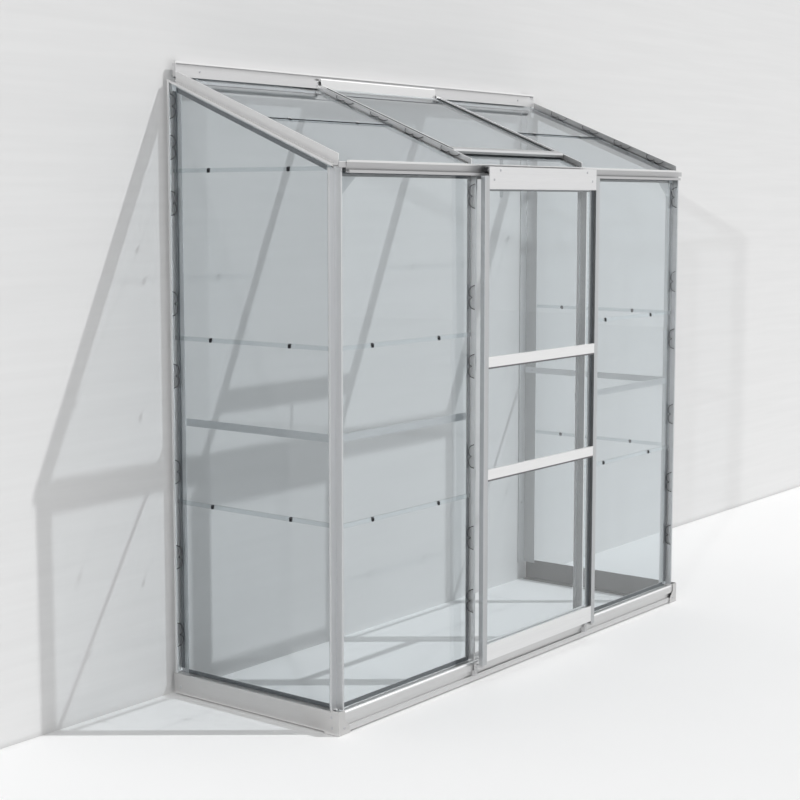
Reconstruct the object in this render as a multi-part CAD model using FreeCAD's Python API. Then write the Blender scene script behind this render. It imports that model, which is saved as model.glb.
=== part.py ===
import FreeCAD, Part
import math
import os

from FreeCAD import Vector

os.makedirs("parts", exist_ok=True)

# Lean-to greenhouse, in millimetres: X runs along the wall, -Y is the front, +Z is up.
# The origin is under the middle of the whole, at the level of the floor.
# Pieces are drawn from the front left corner: a is the distance from the left outer plane
# and b the distance behind the sill's front plane.

# Overall sizes
width = 1930.0
base_depth = 650.0
door_reach = 38.0
roof_pitch = 22.05
eave_top_z = 1567.0
bay_offset = 312.0
sheet = 2.0
fit_gap = 0.3
edge_gap = 1.0

# Glass, rubber and glazing ribs
glass_t = 3.0
glass_inset = 25.0
rubber_t = 2.0
rubber_w = 12.0
rib_t = 3.0
rib_tip = 4.5
rib_behind = 2.0
rib_lip_w = 6.0
rib_lip_t = 2.5
corner_rib_t = 4.0
corner_leg = 54.0
bar_flange = 14.0
lap = 12.0
lap_gap = 0.9

# Base sills and corner plates
sill_under = 5.0
sill_foot_inset = 8.0
front_lip_z = 66.0
front_ledge_z = 60.0
front_lip_r = 8.0
side_ledge_z = 64.0
side_lip_r = 3.0
upstand_z = 75.0
recess_depth = 6.0
recess_low_z = 19.0
recess_high_z = 39.0
floor_flange = 20.0
floor_hole_r = 4.0
floor_hole_a = 42.0
floor_hole_b = [150.0, 500.0]
plate_height = 68.0
plate_leg = 28.0
plate_foot_leg = 50.0
plate_foot_z = 18.0
plate_shoulder_z = 42.0
plug_length = 24.0
side_sill_gap = 12.0

# Eave rail: drops are below its top
eave_face_h = 34.0
eave_lean = 7.0
eave_lip_reach = 13.0
track_reach = 12.0
track_h = 8.0
gutter_drop = 20.0
eave_leg_drop = 43.0
roof_glass_drop = 8.4
eave_end = 43.0
eave_cap_end = 14.0
eave_cap_drop = 4.0
eave_cap_leg = 10.0

# Roof bars: heights are square to the top face of the glass
end_rib_top = 18.0
roof_rib_top = 14.5
side_rib_n = -10.0
side_rib_t = 3.0
side_leg_drop = 24.0
end_bar_start = 14.0
roof_bar_start = 24.0
roof_bar_gap = 10.0
roof_glass_start = 10.0
roof_glass_gap = 10.5
roof_joint = 342.0

# Ridge rail on the wall: rises are above the roof glass at the rail's face
ridge_reach = 28.0
ridge_web_reach = 18.0
ridge_shelf_reach = 30.0
ridge_inset = 29.0
ridge_back_inset = 65.0
ridge_face_rise = 3.0
ridge_step_rise = 27.5
ridge_hood_h = 20.0
ridge_lip_h = 6.0
ridge_skirt_h = 6.0
ridge_strip_h = 3.0

# Wall uprights: the rib stands off the wall on a plate
wall_rib_t = 3.0
wall_rib_stand = 17.0
wall_lip_w = 8.0
upright_flange = 30.0
wall_flange = 72.0
wall_hole_r = 3.5
wall_hole_a = 52.0
wall_hole_z = [300.0, 1500.0]

# Braces and gussets
brace_z = 805.0
brace_h = 22.0
gusset_end = 130.0
gusset_h = 76.7
gusset_toe = 22.0
gusset_edge = 16.0

# Pane joints up the walls
front_joints_z = [568.0, 1056.0]
side_joints_z = [572.0, 1056.0, 1539.0]

# Sliding door
door_overlap = 14.0
door_back = 21.0
stile_w = 22.0
stile_flange = 18.0
stile_low_z = 57.0
stile_drop = 27.0
door_glass_b = -28.0
rail_back = 29.0
header_drop = 7.0
header_h = 66.0
header_web_h = 14.0
header_grooves_h = [22.0, 44.0]
header_screws = [(25.0, 28.0), (57.0, 55.5)]
groove_depth = 0.8
groove_h = 1.4
rail_low_z = 620.0
rail_high_z = 960.0
rail_h = 36.0
bottom_rail_z = 66.0
bottom_rail_h = 52.0
bottom_web_z = 104.0
bead_drop = 20.0

# Door rollers and guides
roller_r = 8.0
roller_flange_r = 9.8
roller_w = 10.2
groove_w = 3.2
running_gap = 0.06
axle_r = 2.5
boss_r = 6.0
roller_inset = 46.0
guide_w = 10.0
guide_leg_front = 9.0
guide_leg_back = 3.0
guide_top_h = 8.0

# Roof vent: heights are square to the top face of the roof glass
vent_inset = 6.5
vent_low_n = 4.0
vent_top_n = 16.5
vent_setback = 4.0
vent_rail_w = 24.0
vent_ledge = 14.0
vent_cap = 5.0
vent_glass_gap = 8.0
bead_reach = 1.5
bead_rise = 2.5
bead_r = 3.0
socket_r = 5.3
socket_open_angle = 25.0
hinge_bar_inset = 2.5
hinge_flange_w = 22.0
hinge_grooves_h = [4.5, 14.5]
hinge_seal_h = 7.0
seal_w = 2.5

# Vent sill and stay
vent_sill_start = 100.0
vent_sill_w = 24.0
vent_sill_drop = 12.0
bay_glass_rest = 6.0
stay_pin_r = 2.5
stay_head_r = 4.0
stay_pin_ahead = 10.0
stay_pin_n = -15.0
stay_length = 130.0
stay_w = 12.0
stay_holes = 4
stay_hole_pitch = 26.0

# Fasteners and clips
screw_r = 2.0
screw_head_r = 4.0
screw_head_h = 1.5
screw_grip = 5.0
hole_gap = 0.1
clip_half = 36.0
clip_shoulder = 14.0
clip_rise = 0.35
wire_r = 0.8
clip_in = 10.0
roof_clip_start = 87.0
roof_clip_pitch = 146.5
roof_clips = 4
lap_clip_w = 8.0
lap_clip_h = 10.0
lap_clip_t = 0.5

# Wire clips on the walls: height above the lower and below the upper edge of each pane
front_clips = [(190.0, 123.0), (126.0, 89.0), (117.0, 74.0)]
side_clips = [(115.0, 159.0), (96.0, 105.0), (106.0, 87.0)]
top_clips = (73.0, 45.0)

# Lap clips: distance in from the corner rib and from the other edge of the pane
side_lap_clips = (157.0, 160.0)
front_lap_clips = (151.0, 161.0)
roof_lap_clips = (151.0, 169.0)

# Screws
plate_screws = [(22.0, 18.0), (24.0, 49.0)]
plate_front_screw_a = 25.0
sill_screw_back = 38.0
sill_screw_z = 24.0
brace_screw_inset = 10.0
gusset_screw_insets = (14.0, 16.0)
gusset_screw_drop = 14.0
ridge_screw_insets = (127.0, 135.0)
ridge_screw_drop = 5.0

# Places worked out from the sizes
left_x = -width / 2.0
wall_y = (base_depth + door_reach) / 2.0
front_y = wall_y - base_depth
slope = math.tan(math.radians(roof_pitch))
slope_cos = math.cos(math.radians(roof_pitch))
slope_sin = math.sin(math.radians(roof_pitch))
eave_low_z = eave_top_z - eave_face_h
gutter_z = eave_top_z - gutter_drop
eave_leg_z = eave_top_z - eave_leg_drop
eave_cap_z = eave_top_z - eave_cap_drop
roof_glass_z = eave_top_z - roof_glass_drop
door_half = bay_offset + door_overlap
roller_offset = door_half - roller_inset
header_top_z = eave_top_z - header_drop
header_low_z = header_top_z - header_h
header_web_z = header_low_z + header_web_h
stile_top_z = header_top_z - stile_drop
glass_back = glass_inset + glass_t
flange_face = glass_back + rubber_t
flange_back = flange_face + sheet
core_face = glass_inset + rib_behind
core_back = core_face + corner_rib_t
sill_a = screw_head_h + sheet + fit_gap
leg_gap = corner_leg + edge_gap
bar_a = width / 2.0 - bay_offset
post_foot_z = front_lip_z + fit_gap
post_top_z = gutter_z - fit_gap
flange_n = -(glass_t + rubber_t)
side_foot_n = side_rib_n - side_rib_t
side_leg_n = side_foot_n - side_leg_drop
ridge_face_b = base_depth - ridge_reach
wall_rib_back = base_depth - wall_rib_stand
wall_rib_b = wall_rib_back - wall_rib_t
upright_b = wall_rib_b - upright_flange
bar_upper_end = ridge_face_b - sheet - fit_gap
roof_bar_end = base_depth - roof_bar_gap
roof_glass_end = (base_depth - roof_glass_gap) / slope_cos
door_face = screw_head_h - door_reach
door_a = width / 2.0 - door_half
stile_in = door_a + stile_w
stile_flange_in = stile_in + stile_flange
door_flange_b = -door_back - sheet
axle_z = eave_low_z + track_h + hole_gap + roller_r
vent_half = bay_offset - vent_inset
vent_edge = width / 2.0 - vent_half
hinge_bar_half = vent_half - hinge_bar_inset
vent_start = vent_sill_start + vent_setback
vent_sill_end = vent_sill_start + vent_sill_w
bay_glass_end = vent_sill_end - bay_glass_rest
stay_pin_s = vent_sill_end + stay_pin_ahead

nodes = {}


def place(a, b, z):
    return Vector(left_x + a, front_y + b, z)


def roof_z(b, n):
    """Height of the sheet at distance n above the roof glass, over the distance b."""
    return roof_glass_z + slope * b + n / slope_cos


# Ridge and hinge, worked out from the height of the roof glass there
ridge_face_z = roof_z(ridge_face_b, 0) + ridge_face_rise
ridge_step_z = roof_z(ridge_face_b, 0) + ridge_step_rise
ridge_top_z = ridge_step_z + ridge_hood_h
ridge_shelf_z = roof_z(base_depth - ridge_shelf_reach, flange_n - sheet) - fit_gap
ridge_bottom_z = ridge_shelf_z - ridge_skirt_h
bead_b = ridge_face_b - bead_reach
bead_z = ridge_step_z + bead_rise
hinge_plate_back = bead_b - socket_r + sheet / 4.0
hinge_plate_front = hinge_plate_back - sheet
hinge_plate_low_z = roof_z(hinge_plate_front, vent_low_n) - edge_gap / 2.0
vent_side_end = (hinge_plate_front + vent_low_n * slope_sin) / slope_cos - 2 * edge_gap
vent_glass_end = vent_side_end - vent_glass_gap
hinge_flange_start = vent_side_end - hinge_flange_w


def roof_place(a, s, n):
    """Point at run s up the slope and at height n square to the roof glass."""
    return place(a, s * slope_cos - n * slope_sin, roof_glass_z + s * slope_sin + n * slope_cos)


def corner_cut(point, before, after, radius):
    """Start, middle and end of the arc that rounds one corner of an outline."""
    back = Vector(before[0] - point[0], before[1] - point[1], 0).normalize()
    ahead = Vector(after[0] - point[0], after[1] - point[1], 0).normalize()
    half = back.getAngle(ahead) / 2.0
    base = Vector(point[0], point[1], 0)
    reach = radius / math.tan(half)
    middle = (back + ahead).normalize() * (radius / math.sin(half) - radius)
    return [base + back * reach, base + middle, base + ahead * reach]


def outline_face(points, to_space):
    """Face inside the outline; a point with a third value is rounded to that radius."""
    rings = []
    for i, point in enumerate(points):
        after = points[(i + 1) % len(points)]
        if len(point) > 2:
            arc = corner_cut(point, points[i - 1], after, point[2])
        else:
            arc = [Vector(point[0], point[1], 0)]
        rings.append([to_space(p.x, p.y) for p in arc])
    edges = []
    for i, ring in enumerate(rings):
        if len(ring) == 3:
            edges.append(Part.Arc(ring[0], ring[1], ring[2]).toShape())
        edges.append(Part.LineSegment(ring[-1], rings[(i + 1) % len(rings)][0]).toShape())
    return Part.Face(Part.Wire(edges))


def prism_x(points, a0, a1):
    """Section drawn as (b, z), run along X."""
    face = outline_face(points, lambda b, z: place(a0, b, z))
    return face.extrude(Vector(a1 - a0, 0, 0))


def prism_y(points, b0, b1):
    """Section drawn as (a, z), run along Y."""
    face = outline_face(points, lambda a, z: place(a, b0, z))
    return face.extrude(Vector(0, b1 - b0, 0))


def prism_z(points, z0, z1):
    """Section drawn as (a, b), run upwards."""
    face = outline_face(points, lambda a, b: place(a, b, z0))
    return face.extrude(Vector(0, 0, z1 - z0))


def prism_roof(points, b0, b1):
    """Section drawn as (a, n), run up the slope and cut upright at both ends."""
    face = outline_face(points, lambda a, n: place(a, b0, roof_z(b0, n)))
    return face.extrude(Vector(0, b1 - b0, slope * (b1 - b0)))


def prism_roof_x(points, a0, a1):
    """Section drawn as (s, n) in the roof's own directions, run along X."""
    face = outline_face(points, lambda s, n: roof_place(a0, s, n))
    return face.extrude(Vector(a1 - a0, 0, 0))


def box(a0, a1, b0, b1, z0, z1):
    return Part.makeBox(a1 - a0, b1 - b0, z1 - z0, place(a0, b0, z0))


def rect(u0, u1, v0, v1):
    return [(u0, v0), (u1, v0), (u1, v1), (u0, v1)]


def under_roof(b0, b1, low_z, n):
    """Outline in (b, z) whose top edge follows the roof, at height n above its glass."""
    return [(b0, low_z), (b1, low_z), (b1, roof_z(b1, n) - fit_gap), (b0, roof_z(b0, n) - fit_gap)]


def joined(shapes):
    whole = shapes[0]
    for shape in shapes[1:]:
        whole = whole.fuse(shape)
    return whole.removeSplitter()


def mirrored(shape):
    return shape.mirror(Vector(0, 0, 0), Vector(1, 0, 0))


def rod(start, direction, radius, length):
    return Part.makeCylinder(radius, length, start, direction)


def add(name, *shapes):
    nodes.setdefault(name, []).extend(shapes)


def add_pair(name, *shapes):
    """The same pieces at the left and, mirrored, at the right."""
    add(name + "_left", *shapes)
    add(name + "_right", *[mirrored(shape) for shape in shapes])


# Corner plates: two leaves round the corner and a plug in the end of the front sill
def corner_plates():
    def leaf(start):
        return [
            (start, 0),
            (plate_foot_leg, 0),
            (plate_foot_leg, plate_foot_z),
            (plate_leg, plate_shoulder_z),
            (plate_leg, plate_height),
            (start, plate_height),
        ]

    outer = -fit_gap - sheet
    front = prism_y(leaf(screw_head_h), outer, -fit_gap)
    side = prism_x(leaf(outer), screw_head_h, screw_head_h + sheet)
    plug_front = recess_depth + sheet + edge_gap
    plug_low_z = sill_under + sheet + edge_gap
    plug_high_z = front_ledge_z - 2 * sheet - edge_gap
    plug = box(screw_head_h + sheet, plug_length, plug_front, flange_face - sheet, plug_low_z, plug_high_z)
    add_pair("corner_plate", joined([front, side, plug]))


# Front sill: a hollow section with a grooved band, a rounded lip and an upstand
def front_sill():
    outer = [
        (0, sill_under),
        (0, recess_low_z + sheet),
        (sheet, recess_low_z + sheet),
        (sheet, recess_low_z),
        (recess_depth, recess_low_z),
        (recess_depth, recess_high_z),
        (sheet, recess_high_z),
        (sheet, recess_high_z - sheet),
        (0, recess_high_z - sheet),
        (0, front_lip_z, front_lip_r),
        (glass_inset, front_ledge_z),
        (flange_back, front_ledge_z),
        (flange_back, 0),
        (sill_foot_inset, 0),
        (sill_foot_inset, sill_under),
    ]
    inner = [
        (sheet, sill_under + sheet),
        (sheet, recess_low_z - sheet),
        (recess_depth + sheet, recess_low_z - sheet),
        (recess_depth + sheet, recess_high_z + sheet),
        (sheet, recess_high_z + sheet),
        (sheet, front_lip_z - sheet, front_lip_r - sheet),
        (glass_inset, front_ledge_z - sheet),
        (flange_face, front_ledge_z - sheet),
        (flange_face, sheet),
        (sill_foot_inset + sheet, sheet),
        (sill_foot_inset + sheet, sill_under + sheet),
    ]
    body = prism_x(outer, sill_a, width - sill_a).cut(prism_x(inner, sill_a, width - sill_a))
    upstand = box(leg_gap, width - leg_gap, flange_face, flange_back, front_ledge_z, upstand_z)
    add("front_sill", joined([body, upstand]))


# Side sills: hollow, with a ledge and upstand for the glass and a flange on the floor
def side_sills():
    foot = sill_a + sill_foot_inset
    floor_end = flange_back + floor_flange
    outer = [
        (sill_a, sill_under),
        (sill_a, side_ledge_z, side_lip_r),
        (flange_back, side_ledge_z),
        (flange_back, sheet),
        (floor_end, sheet),
        (floor_end, 0),
        (foot, 0),
        (foot, sill_under),
    ]
    inner = [
        (sill_a + sheet, sill_under + sheet),
        (sill_a + sheet, side_ledge_z - sheet),
        (flange_face, side_ledge_z - sheet),
        (flange_face, sheet),
        (foot + sheet, sheet),
        (foot + sheet, sill_under + sheet),
    ]
    start = flange_back + fit_gap
    end = base_depth - side_sill_gap
    body = prism_y(outer, start, end).cut(prism_y(inner, start, end))
    upstand = box(flange_face, flange_back, leg_gap, upright_b - edge_gap, side_ledge_z, upstand_z)
    sill = joined([body, upstand])
    for hole_b in floor_hole_b:
        sill = sill.cut(rod(place(floor_hole_a, hole_b, 0), Vector(0, 0, 1), floor_hole_r, sheet))
    add_pair("side_sill", sill)


# Corner posts: two ribs outside and two glazing flanges inside
def corner_posts():
    lip = (rib_lip_w - corner_rib_t) / 2.0
    inner = rib_tip + rib_lip_t
    ribs = [
        rect(core_face, core_back, rib_tip, flange_back),
        rect(core_face - lip, core_back + lip, rib_tip, inner),
        rect(rib_tip, flange_back, core_face, core_back),
        rect(rib_tip, inner, core_face - lip, core_back + lip),
        rect(core_face, flange_back, core_face, flange_back),
    ]
    pieces = [prism_z(rib, post_foot_z, post_top_z) for rib in ribs]
    side_top_z = roof_z(flange_back + edge_gap, side_leg_n) - fit_gap
    front_leg = box(core_back, corner_leg, flange_face, flange_back, post_foot_z, post_top_z)
    side_leg = box(flange_face, flange_back, core_back, corner_leg, post_foot_z, side_top_z)
    add_pair("corner_post", joined(pieces + [front_leg, side_leg]))


# Front bars at both sides of the doorway
def front_bars():
    half = rib_t / 2.0
    lip = rib_lip_w / 2.0
    low_z = upstand_z + fit_gap
    pieces = [
        box(bar_a - half, bar_a + half, rib_tip, flange_face, post_foot_z, post_top_z),
        box(bar_a - lip, bar_a + lip, rib_tip, rib_tip + rib_lip_t, post_foot_z, post_top_z),
        box(bar_a - bar_flange, bar_a + bar_flange, flange_face, flange_back, low_z, eave_leg_z - fit_gap),
    ]
    add_pair("front_bar", joined(pieces))


# Eave rail: leaning face with the door's track in front and a gutter behind
def eave_rail():
    def face_b(z):
        return sheet - eave_lean * (z - eave_low_z) / (eave_top_z - eave_low_z)

    floor_z = gutter_z + sheet
    lip_z = eave_top_z - sheet
    back = flange_back + sheet
    rest_z = roof_z(flange_back, flange_n - sheet) - fit_gap / 2.0
    profile = [
        (-track_reach, eave_low_z),
        (face_b(eave_low_z) + sheet, eave_low_z),
        (face_b(gutter_z) + sheet, gutter_z),
        (back, gutter_z),
        (back, floor_z),
        (face_b(floor_z) + sheet, floor_z),
        (face_b(eave_top_z) + sheet, eave_top_z),
        (-eave_lip_reach, eave_top_z),
        (-eave_lip_reach, lip_z),
        (face_b(lip_z), lip_z),
        (face_b(eave_low_z + sheet), eave_low_z + sheet),
        (sheet - track_reach, eave_low_z + sheet),
        (sheet - track_reach, eave_low_z + track_h),
        (-track_reach, eave_low_z + track_h),
    ]
    rail = prism_x(profile, eave_end, width - eave_end)
    leg = box(leg_gap, width - leg_gap, flange_face, flange_back, eave_leg_z, gutter_z)
    rest = box(leg_gap, width - leg_gap, flange_back, back, floor_z, rest_z)
    add("eave_rail", joined([rail, leg, rest]))


# End caps between the eave rail and the roof's end bars
def eave_end_caps():
    end = eave_end - fit_gap
    foot_z = post_top_z + fit_gap
    back = end_bar_start - edge_gap
    pieces = [
        box(eave_cap_end, end, 0, sheet, foot_z, eave_cap_z),
        box(end - sheet, end, 0, back, foot_z, foot_z + eave_cap_leg),
        box(eave_cap_end, end, 0, back, foot_z, foot_z + sheet),
    ]
    add_pair("eave_end_cap", joined(pieces))


# Roof end bars: ribs over the roof glass and beside the gable glass, run up the slope
def roof_end_bars():
    lip = (rib_lip_w - rib_t) / 2.0
    rib_back = core_face + rib_t
    side_in = core_face - fit_gap
    side_mid = side_rib_n - side_rib_t / 2.0
    main = [
        rect(core_face, rib_back, side_foot_n, end_rib_top),
        rect(core_face - lip, rib_back + lip, end_rib_top - rib_lip_t, end_rib_top),
        rect(side_in, flange_back, side_foot_n, side_rib_n),
        rect(rib_back, corner_leg, flange_n - sheet, flange_n),
    ]
    side = [
        rect(rib_tip, side_in, side_foot_n, side_rib_n),
        rect(rib_tip, rib_tip + rib_lip_t, side_mid - rib_lip_w / 2.0, side_mid + rib_lip_w / 2.0),
    ]
    leg = rect(flange_face, flange_back, side_leg_n, side_foot_n)
    pieces = [prism_roof(run, end_bar_start, bar_upper_end) for run in main]
    pieces += [prism_roof(run, end_bar_start, wall_rib_back) for run in side]
    pieces.append(prism_roof(leg, flange_back + edge_gap, bar_upper_end))
    add_pair("roof_end_bar", joined(pieces))


# Roof bars at both sides of the vent
def roof_bars():
    half = rib_t / 2.0
    lip = rib_lip_w / 2.0
    rib = rect(bar_a - half, bar_a + half, flange_n, roof_rib_top)
    crest = rect(bar_a - lip, bar_a + lip, roof_rib_top - rib_lip_t, roof_rib_top)
    flange = rect(bar_a - bar_flange, bar_a + bar_flange, flange_n - sheet, flange_n)
    rib_end = ridge_face_b - fit_gap
    pieces = [
        prism_roof(rib, roof_bar_start, rib_end),
        prism_roof(crest, roof_bar_start, rib_end),
        prism_roof(flange, roof_bar_start, roof_bar_end),
    ]
    add_pair("roof_bar", joined(pieces))


# Ridge rail: hood over the top of the glass, shelf under the bars, bead for the vent's hinge
def ridge_rail():
    wall = base_depth
    face = ridge_face_b
    web = wall - ridge_web_reach
    shelf = wall - ridge_shelf_reach
    front_runs = [
        rect(face, web + sheet, ridge_top_z - sheet, ridge_top_z),
        rect(face, face + sheet, ridge_top_z - ridge_lip_h, ridge_top_z),
        rect(web, web + sheet, ridge_step_z - sheet, ridge_top_z),
        rect(face, web + sheet, ridge_step_z - sheet, ridge_step_z),
        rect(face, face + sheet, ridge_face_z, ridge_step_z),
    ]
    back_runs = [
        rect(wall - sheet, wall, ridge_bottom_z, ridge_top_z),
        rect(web, wall, ridge_top_z - sheet, ridge_top_z),
        rect(web, wall, ridge_step_z - sheet, ridge_step_z),
        rect(shelf, wall, ridge_shelf_z - sheet, ridge_shelf_z),
        rect(shelf, shelf + sheet, ridge_bottom_z, ridge_shelf_z),
    ]
    pieces = [prism_x(run, ridge_inset, width - ridge_inset) for run in front_runs]
    pieces += [prism_x(run, ridge_back_inset, width - ridge_back_inset) for run in back_runs]
    for end in (ridge_inset, width - ridge_inset - sheet):
        pieces.append(box(end, end + sheet, face, web + sheet, ridge_face_z, ridge_top_z))
    neck = [
        (face - edge_gap, ridge_step_z),
        (face - edge_gap, ridge_step_z - sheet / 2.0),
        (face + edge_gap, ridge_step_z - sheet / 2.0),
        (bead_b + bead_r / 2.0, bead_z),
        (bead_b, bead_z),
    ]
    pieces.append(prism_x(neck, vent_edge, width - vent_edge))
    pieces.append(rod(place(vent_edge, bead_b, bead_z), Vector(1, 0, 0), bead_r, 2 * vent_half))
    add("ridge_rail", joined(pieces))


# Wall uprights: rib and glazing flange on a plate that carries a screw flange on the wall
def wall_uprights():
    wall = base_depth
    foot_z = side_ledge_z + fit_gap
    top_z = ridge_bottom_z - fit_gap
    rib_n = side_rib_n - (side_rib_t + rib_lip_w) / 2.0
    lip_b = wall_rib_back - wall_lip_w
    pieces = [
        prism_x(under_roof(wall_rib_b, wall_rib_back, foot_z, rib_n), rib_tip, flange_back),
        prism_x(under_roof(lip_b, wall_rib_back, foot_z, rib_n), rib_tip, rib_tip + rib_lip_t),
        prism_x(under_roof(upright_b, wall_rib_back, foot_z, side_leg_n), flange_face, flange_back),
        box(flange_face, flange_back, wall_rib_b, wall, foot_z, top_z),
        box(flange_back, wall_flange, wall - sheet, wall, foot_z, top_z),
    ]
    upright = joined(pieces)
    for hole_z in wall_hole_z:
        start = place(wall_hole_a, wall - sheet, hole_z)
        upright = upright.cut(rod(start, Vector(0, 1, 0), wall_hole_r, sheet))
    add_pair("wall_upright", upright)


# Flat braces across the side walls and the two front bays
def braces():
    low = flange_back + fit_gap
    high_z = brace_z + brace_h
    side = box(low, low + sheet, low + sheet + fit_gap, base_depth - 2 * sheet - edge_gap, brace_z, high_z)
    add_pair("side_brace", side)
    front = box(low + sheet + fit_gap, bar_a + bar_flange, low, low + sheet, brace_z, high_z)
    add_pair("front_brace", front)


# Gusset plates in the upper front corners
def gussets():
    low = flange_back + fit_gap
    start = flange_back + edge_gap
    outline = [
        (start, post_top_z - gusset_h),
        (start + gusset_toe, post_top_z - gusset_h),
        (gusset_end, post_top_z - gusset_edge),
        (gusset_end, post_top_z),
        (start, post_top_z),
    ]
    add_pair("gusset", prism_y(outline, low, low + sheet))


# Pane section: the lower edge laps outside the pane below it
def pane_section(run0, run1, lifted):
    lift = glass_t + lap_gap if lifted else 0.0
    return [(run0, lift), (run1, 0.0), (run1, -glass_t), (run0, lift - glass_t)]


def upright_section(run0, run1, lifted):
    return [(glass_inset - out, z) for z, out in pane_section(run0, run1, lifted)]


# Distance of the glass out of line at one place along a row of lapped panes
def glass_lift(run, joints, end):
    lift = 0.0
    for low, high in zip(joints, joints[1:] + [end]):
        if run > low:
            lift = (glass_t + lap_gap) * (high + lap - run) / (high + lap - low)
    return lift


# Front and side glass in lapped panes; the uppermost side pane follows the roof
def wall_glass():
    a0 = flange_back + fit_gap
    a1 = bar_a - rib_t / 2.0 - edge_gap
    lows = [front_ledge_z + fit_gap] + front_joints_z
    highs = [z + lap for z in front_joints_z] + [gutter_z - fit_gap - lap_gap / 2.0]
    panes = []
    for i, low_z in enumerate(lows):
        panes.append(prism_x(upright_section(low_z, highs[i], i > 0), a0, a1))
    add_pair("front_glass", *panes)
    b1 = wall_rib_b - fit_gap
    roof_cut_n = side_foot_n - rib_lip_w / 2.0
    lows = [side_ledge_z + fit_gap] + side_joints_z
    highs = [z + lap for z in side_joints_z] + [roof_z(b1, 0)]
    above = prism_roof(rect(0, flange_back, roof_cut_n, ridge_top_z - roof_glass_z), 0, base_depth)
    panes = []
    for i, low_z in enumerate(lows):
        panes.append(prism_y(upright_section(low_z, highs[i], i > 0), a0, b1).cut(above))
    add_pair("side_glass", *panes)


# Roof glass: two lapped panes in each side bay and one fixed pane under the vent
def roof_glass():
    a0 = core_face + rib_t + edge_gap
    a1 = bar_a - rib_t / 2.0 - edge_gap
    lower = prism_roof_x(pane_section(roof_glass_start, roof_joint + lap, False), a0, a1)
    upper = prism_roof_x(pane_section(roof_joint, roof_glass_end, True), a0, a1)
    add_pair("roof_glass", lower, upper)
    b0 = bar_a + rib_t / 2.0 + edge_gap
    fixed = prism_roof_x(rect(roof_glass_start, bay_glass_end, -glass_t, 0), b0, width - b0)
    add("roof_glass_vent_bay", fixed)


# Vent sill: a folded sheet under the fixed pane, with the pivot of the stay
def vent_sill():
    end = vent_sill_end
    web = end - sheet
    seat = flange_n - sheet
    upstand = web - sheet
    start = bar_a + bar_flange + fit_gap
    runs = [
        rect(vent_sill_start, end, seat, flange_n),
        rect(web, end, seat - vent_sill_drop, flange_n),
        rect(upstand, web, flange_n - sheet, vent_low_n - fit_gap),
    ]
    pieces = [prism_roof_x(run, start, width - start) for run in runs]
    centre = width / 2.0
    cheek = [
        (web, seat - vent_sill_drop),
        (web, seat),
        (end, seat),
        (stay_pin_s + 2 * stay_pin_r, stay_pin_n + 2 * stay_pin_r),
        (stay_pin_s + 2 * stay_pin_r, stay_pin_n - 2 * stay_pin_r),
        (end, seat - vent_sill_drop),
    ]
    pieces.append(prism_roof_x(cheek, centre + sheet, centre + 2 * sheet))
    into = Vector(-1, 0, 0)
    pin_start = roof_place(centre + 1.5 * sheet, stay_pin_s, stay_pin_n)
    pieces.append(rod(pin_start, into, stay_pin_r, 3.5 * sheet))
    shoulder = roof_place(centre + sheet, stay_pin_s, stay_pin_n)
    pieces.append(rod(shoulder, into, stay_head_r, sheet / 2.0 - fit_gap))
    head = roof_place(centre - sheet / 2.0 - fit_gap, stay_pin_s, stay_pin_n)
    pieces.append(rod(head, into, stay_head_r, sheet))
    add("vent_sill", joined(pieces))


# Vent stay: a holed strip that hangs from the pin under the vent sill
def vent_stay():
    centre = width / 2.0
    into = Vector(1, 0, 0)
    pin = roof_place(centre - sheet / 2.0, stay_pin_s, stay_pin_n)
    pin_b = pin.y - front_y
    half = stay_w / 2.0
    low_z = pin.z + half - stay_length
    strip = box(centre - sheet / 2.0, centre + sheet / 2.0, pin_b - half, pin_b + half, low_z, pin.z)
    strip = joined([strip, rod(pin, into, half, sheet)])
    strip = strip.cut(rod(pin, into, stay_pin_r + running_gap, sheet))
    for i in range(stay_holes):
        hole = pin - Vector(0, 0, stay_hole_pitch * (i + 1))
        strip = strip.cut(rod(hole, into, stay_pin_r, sheet))
    add("vent_stay", strip)


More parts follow.
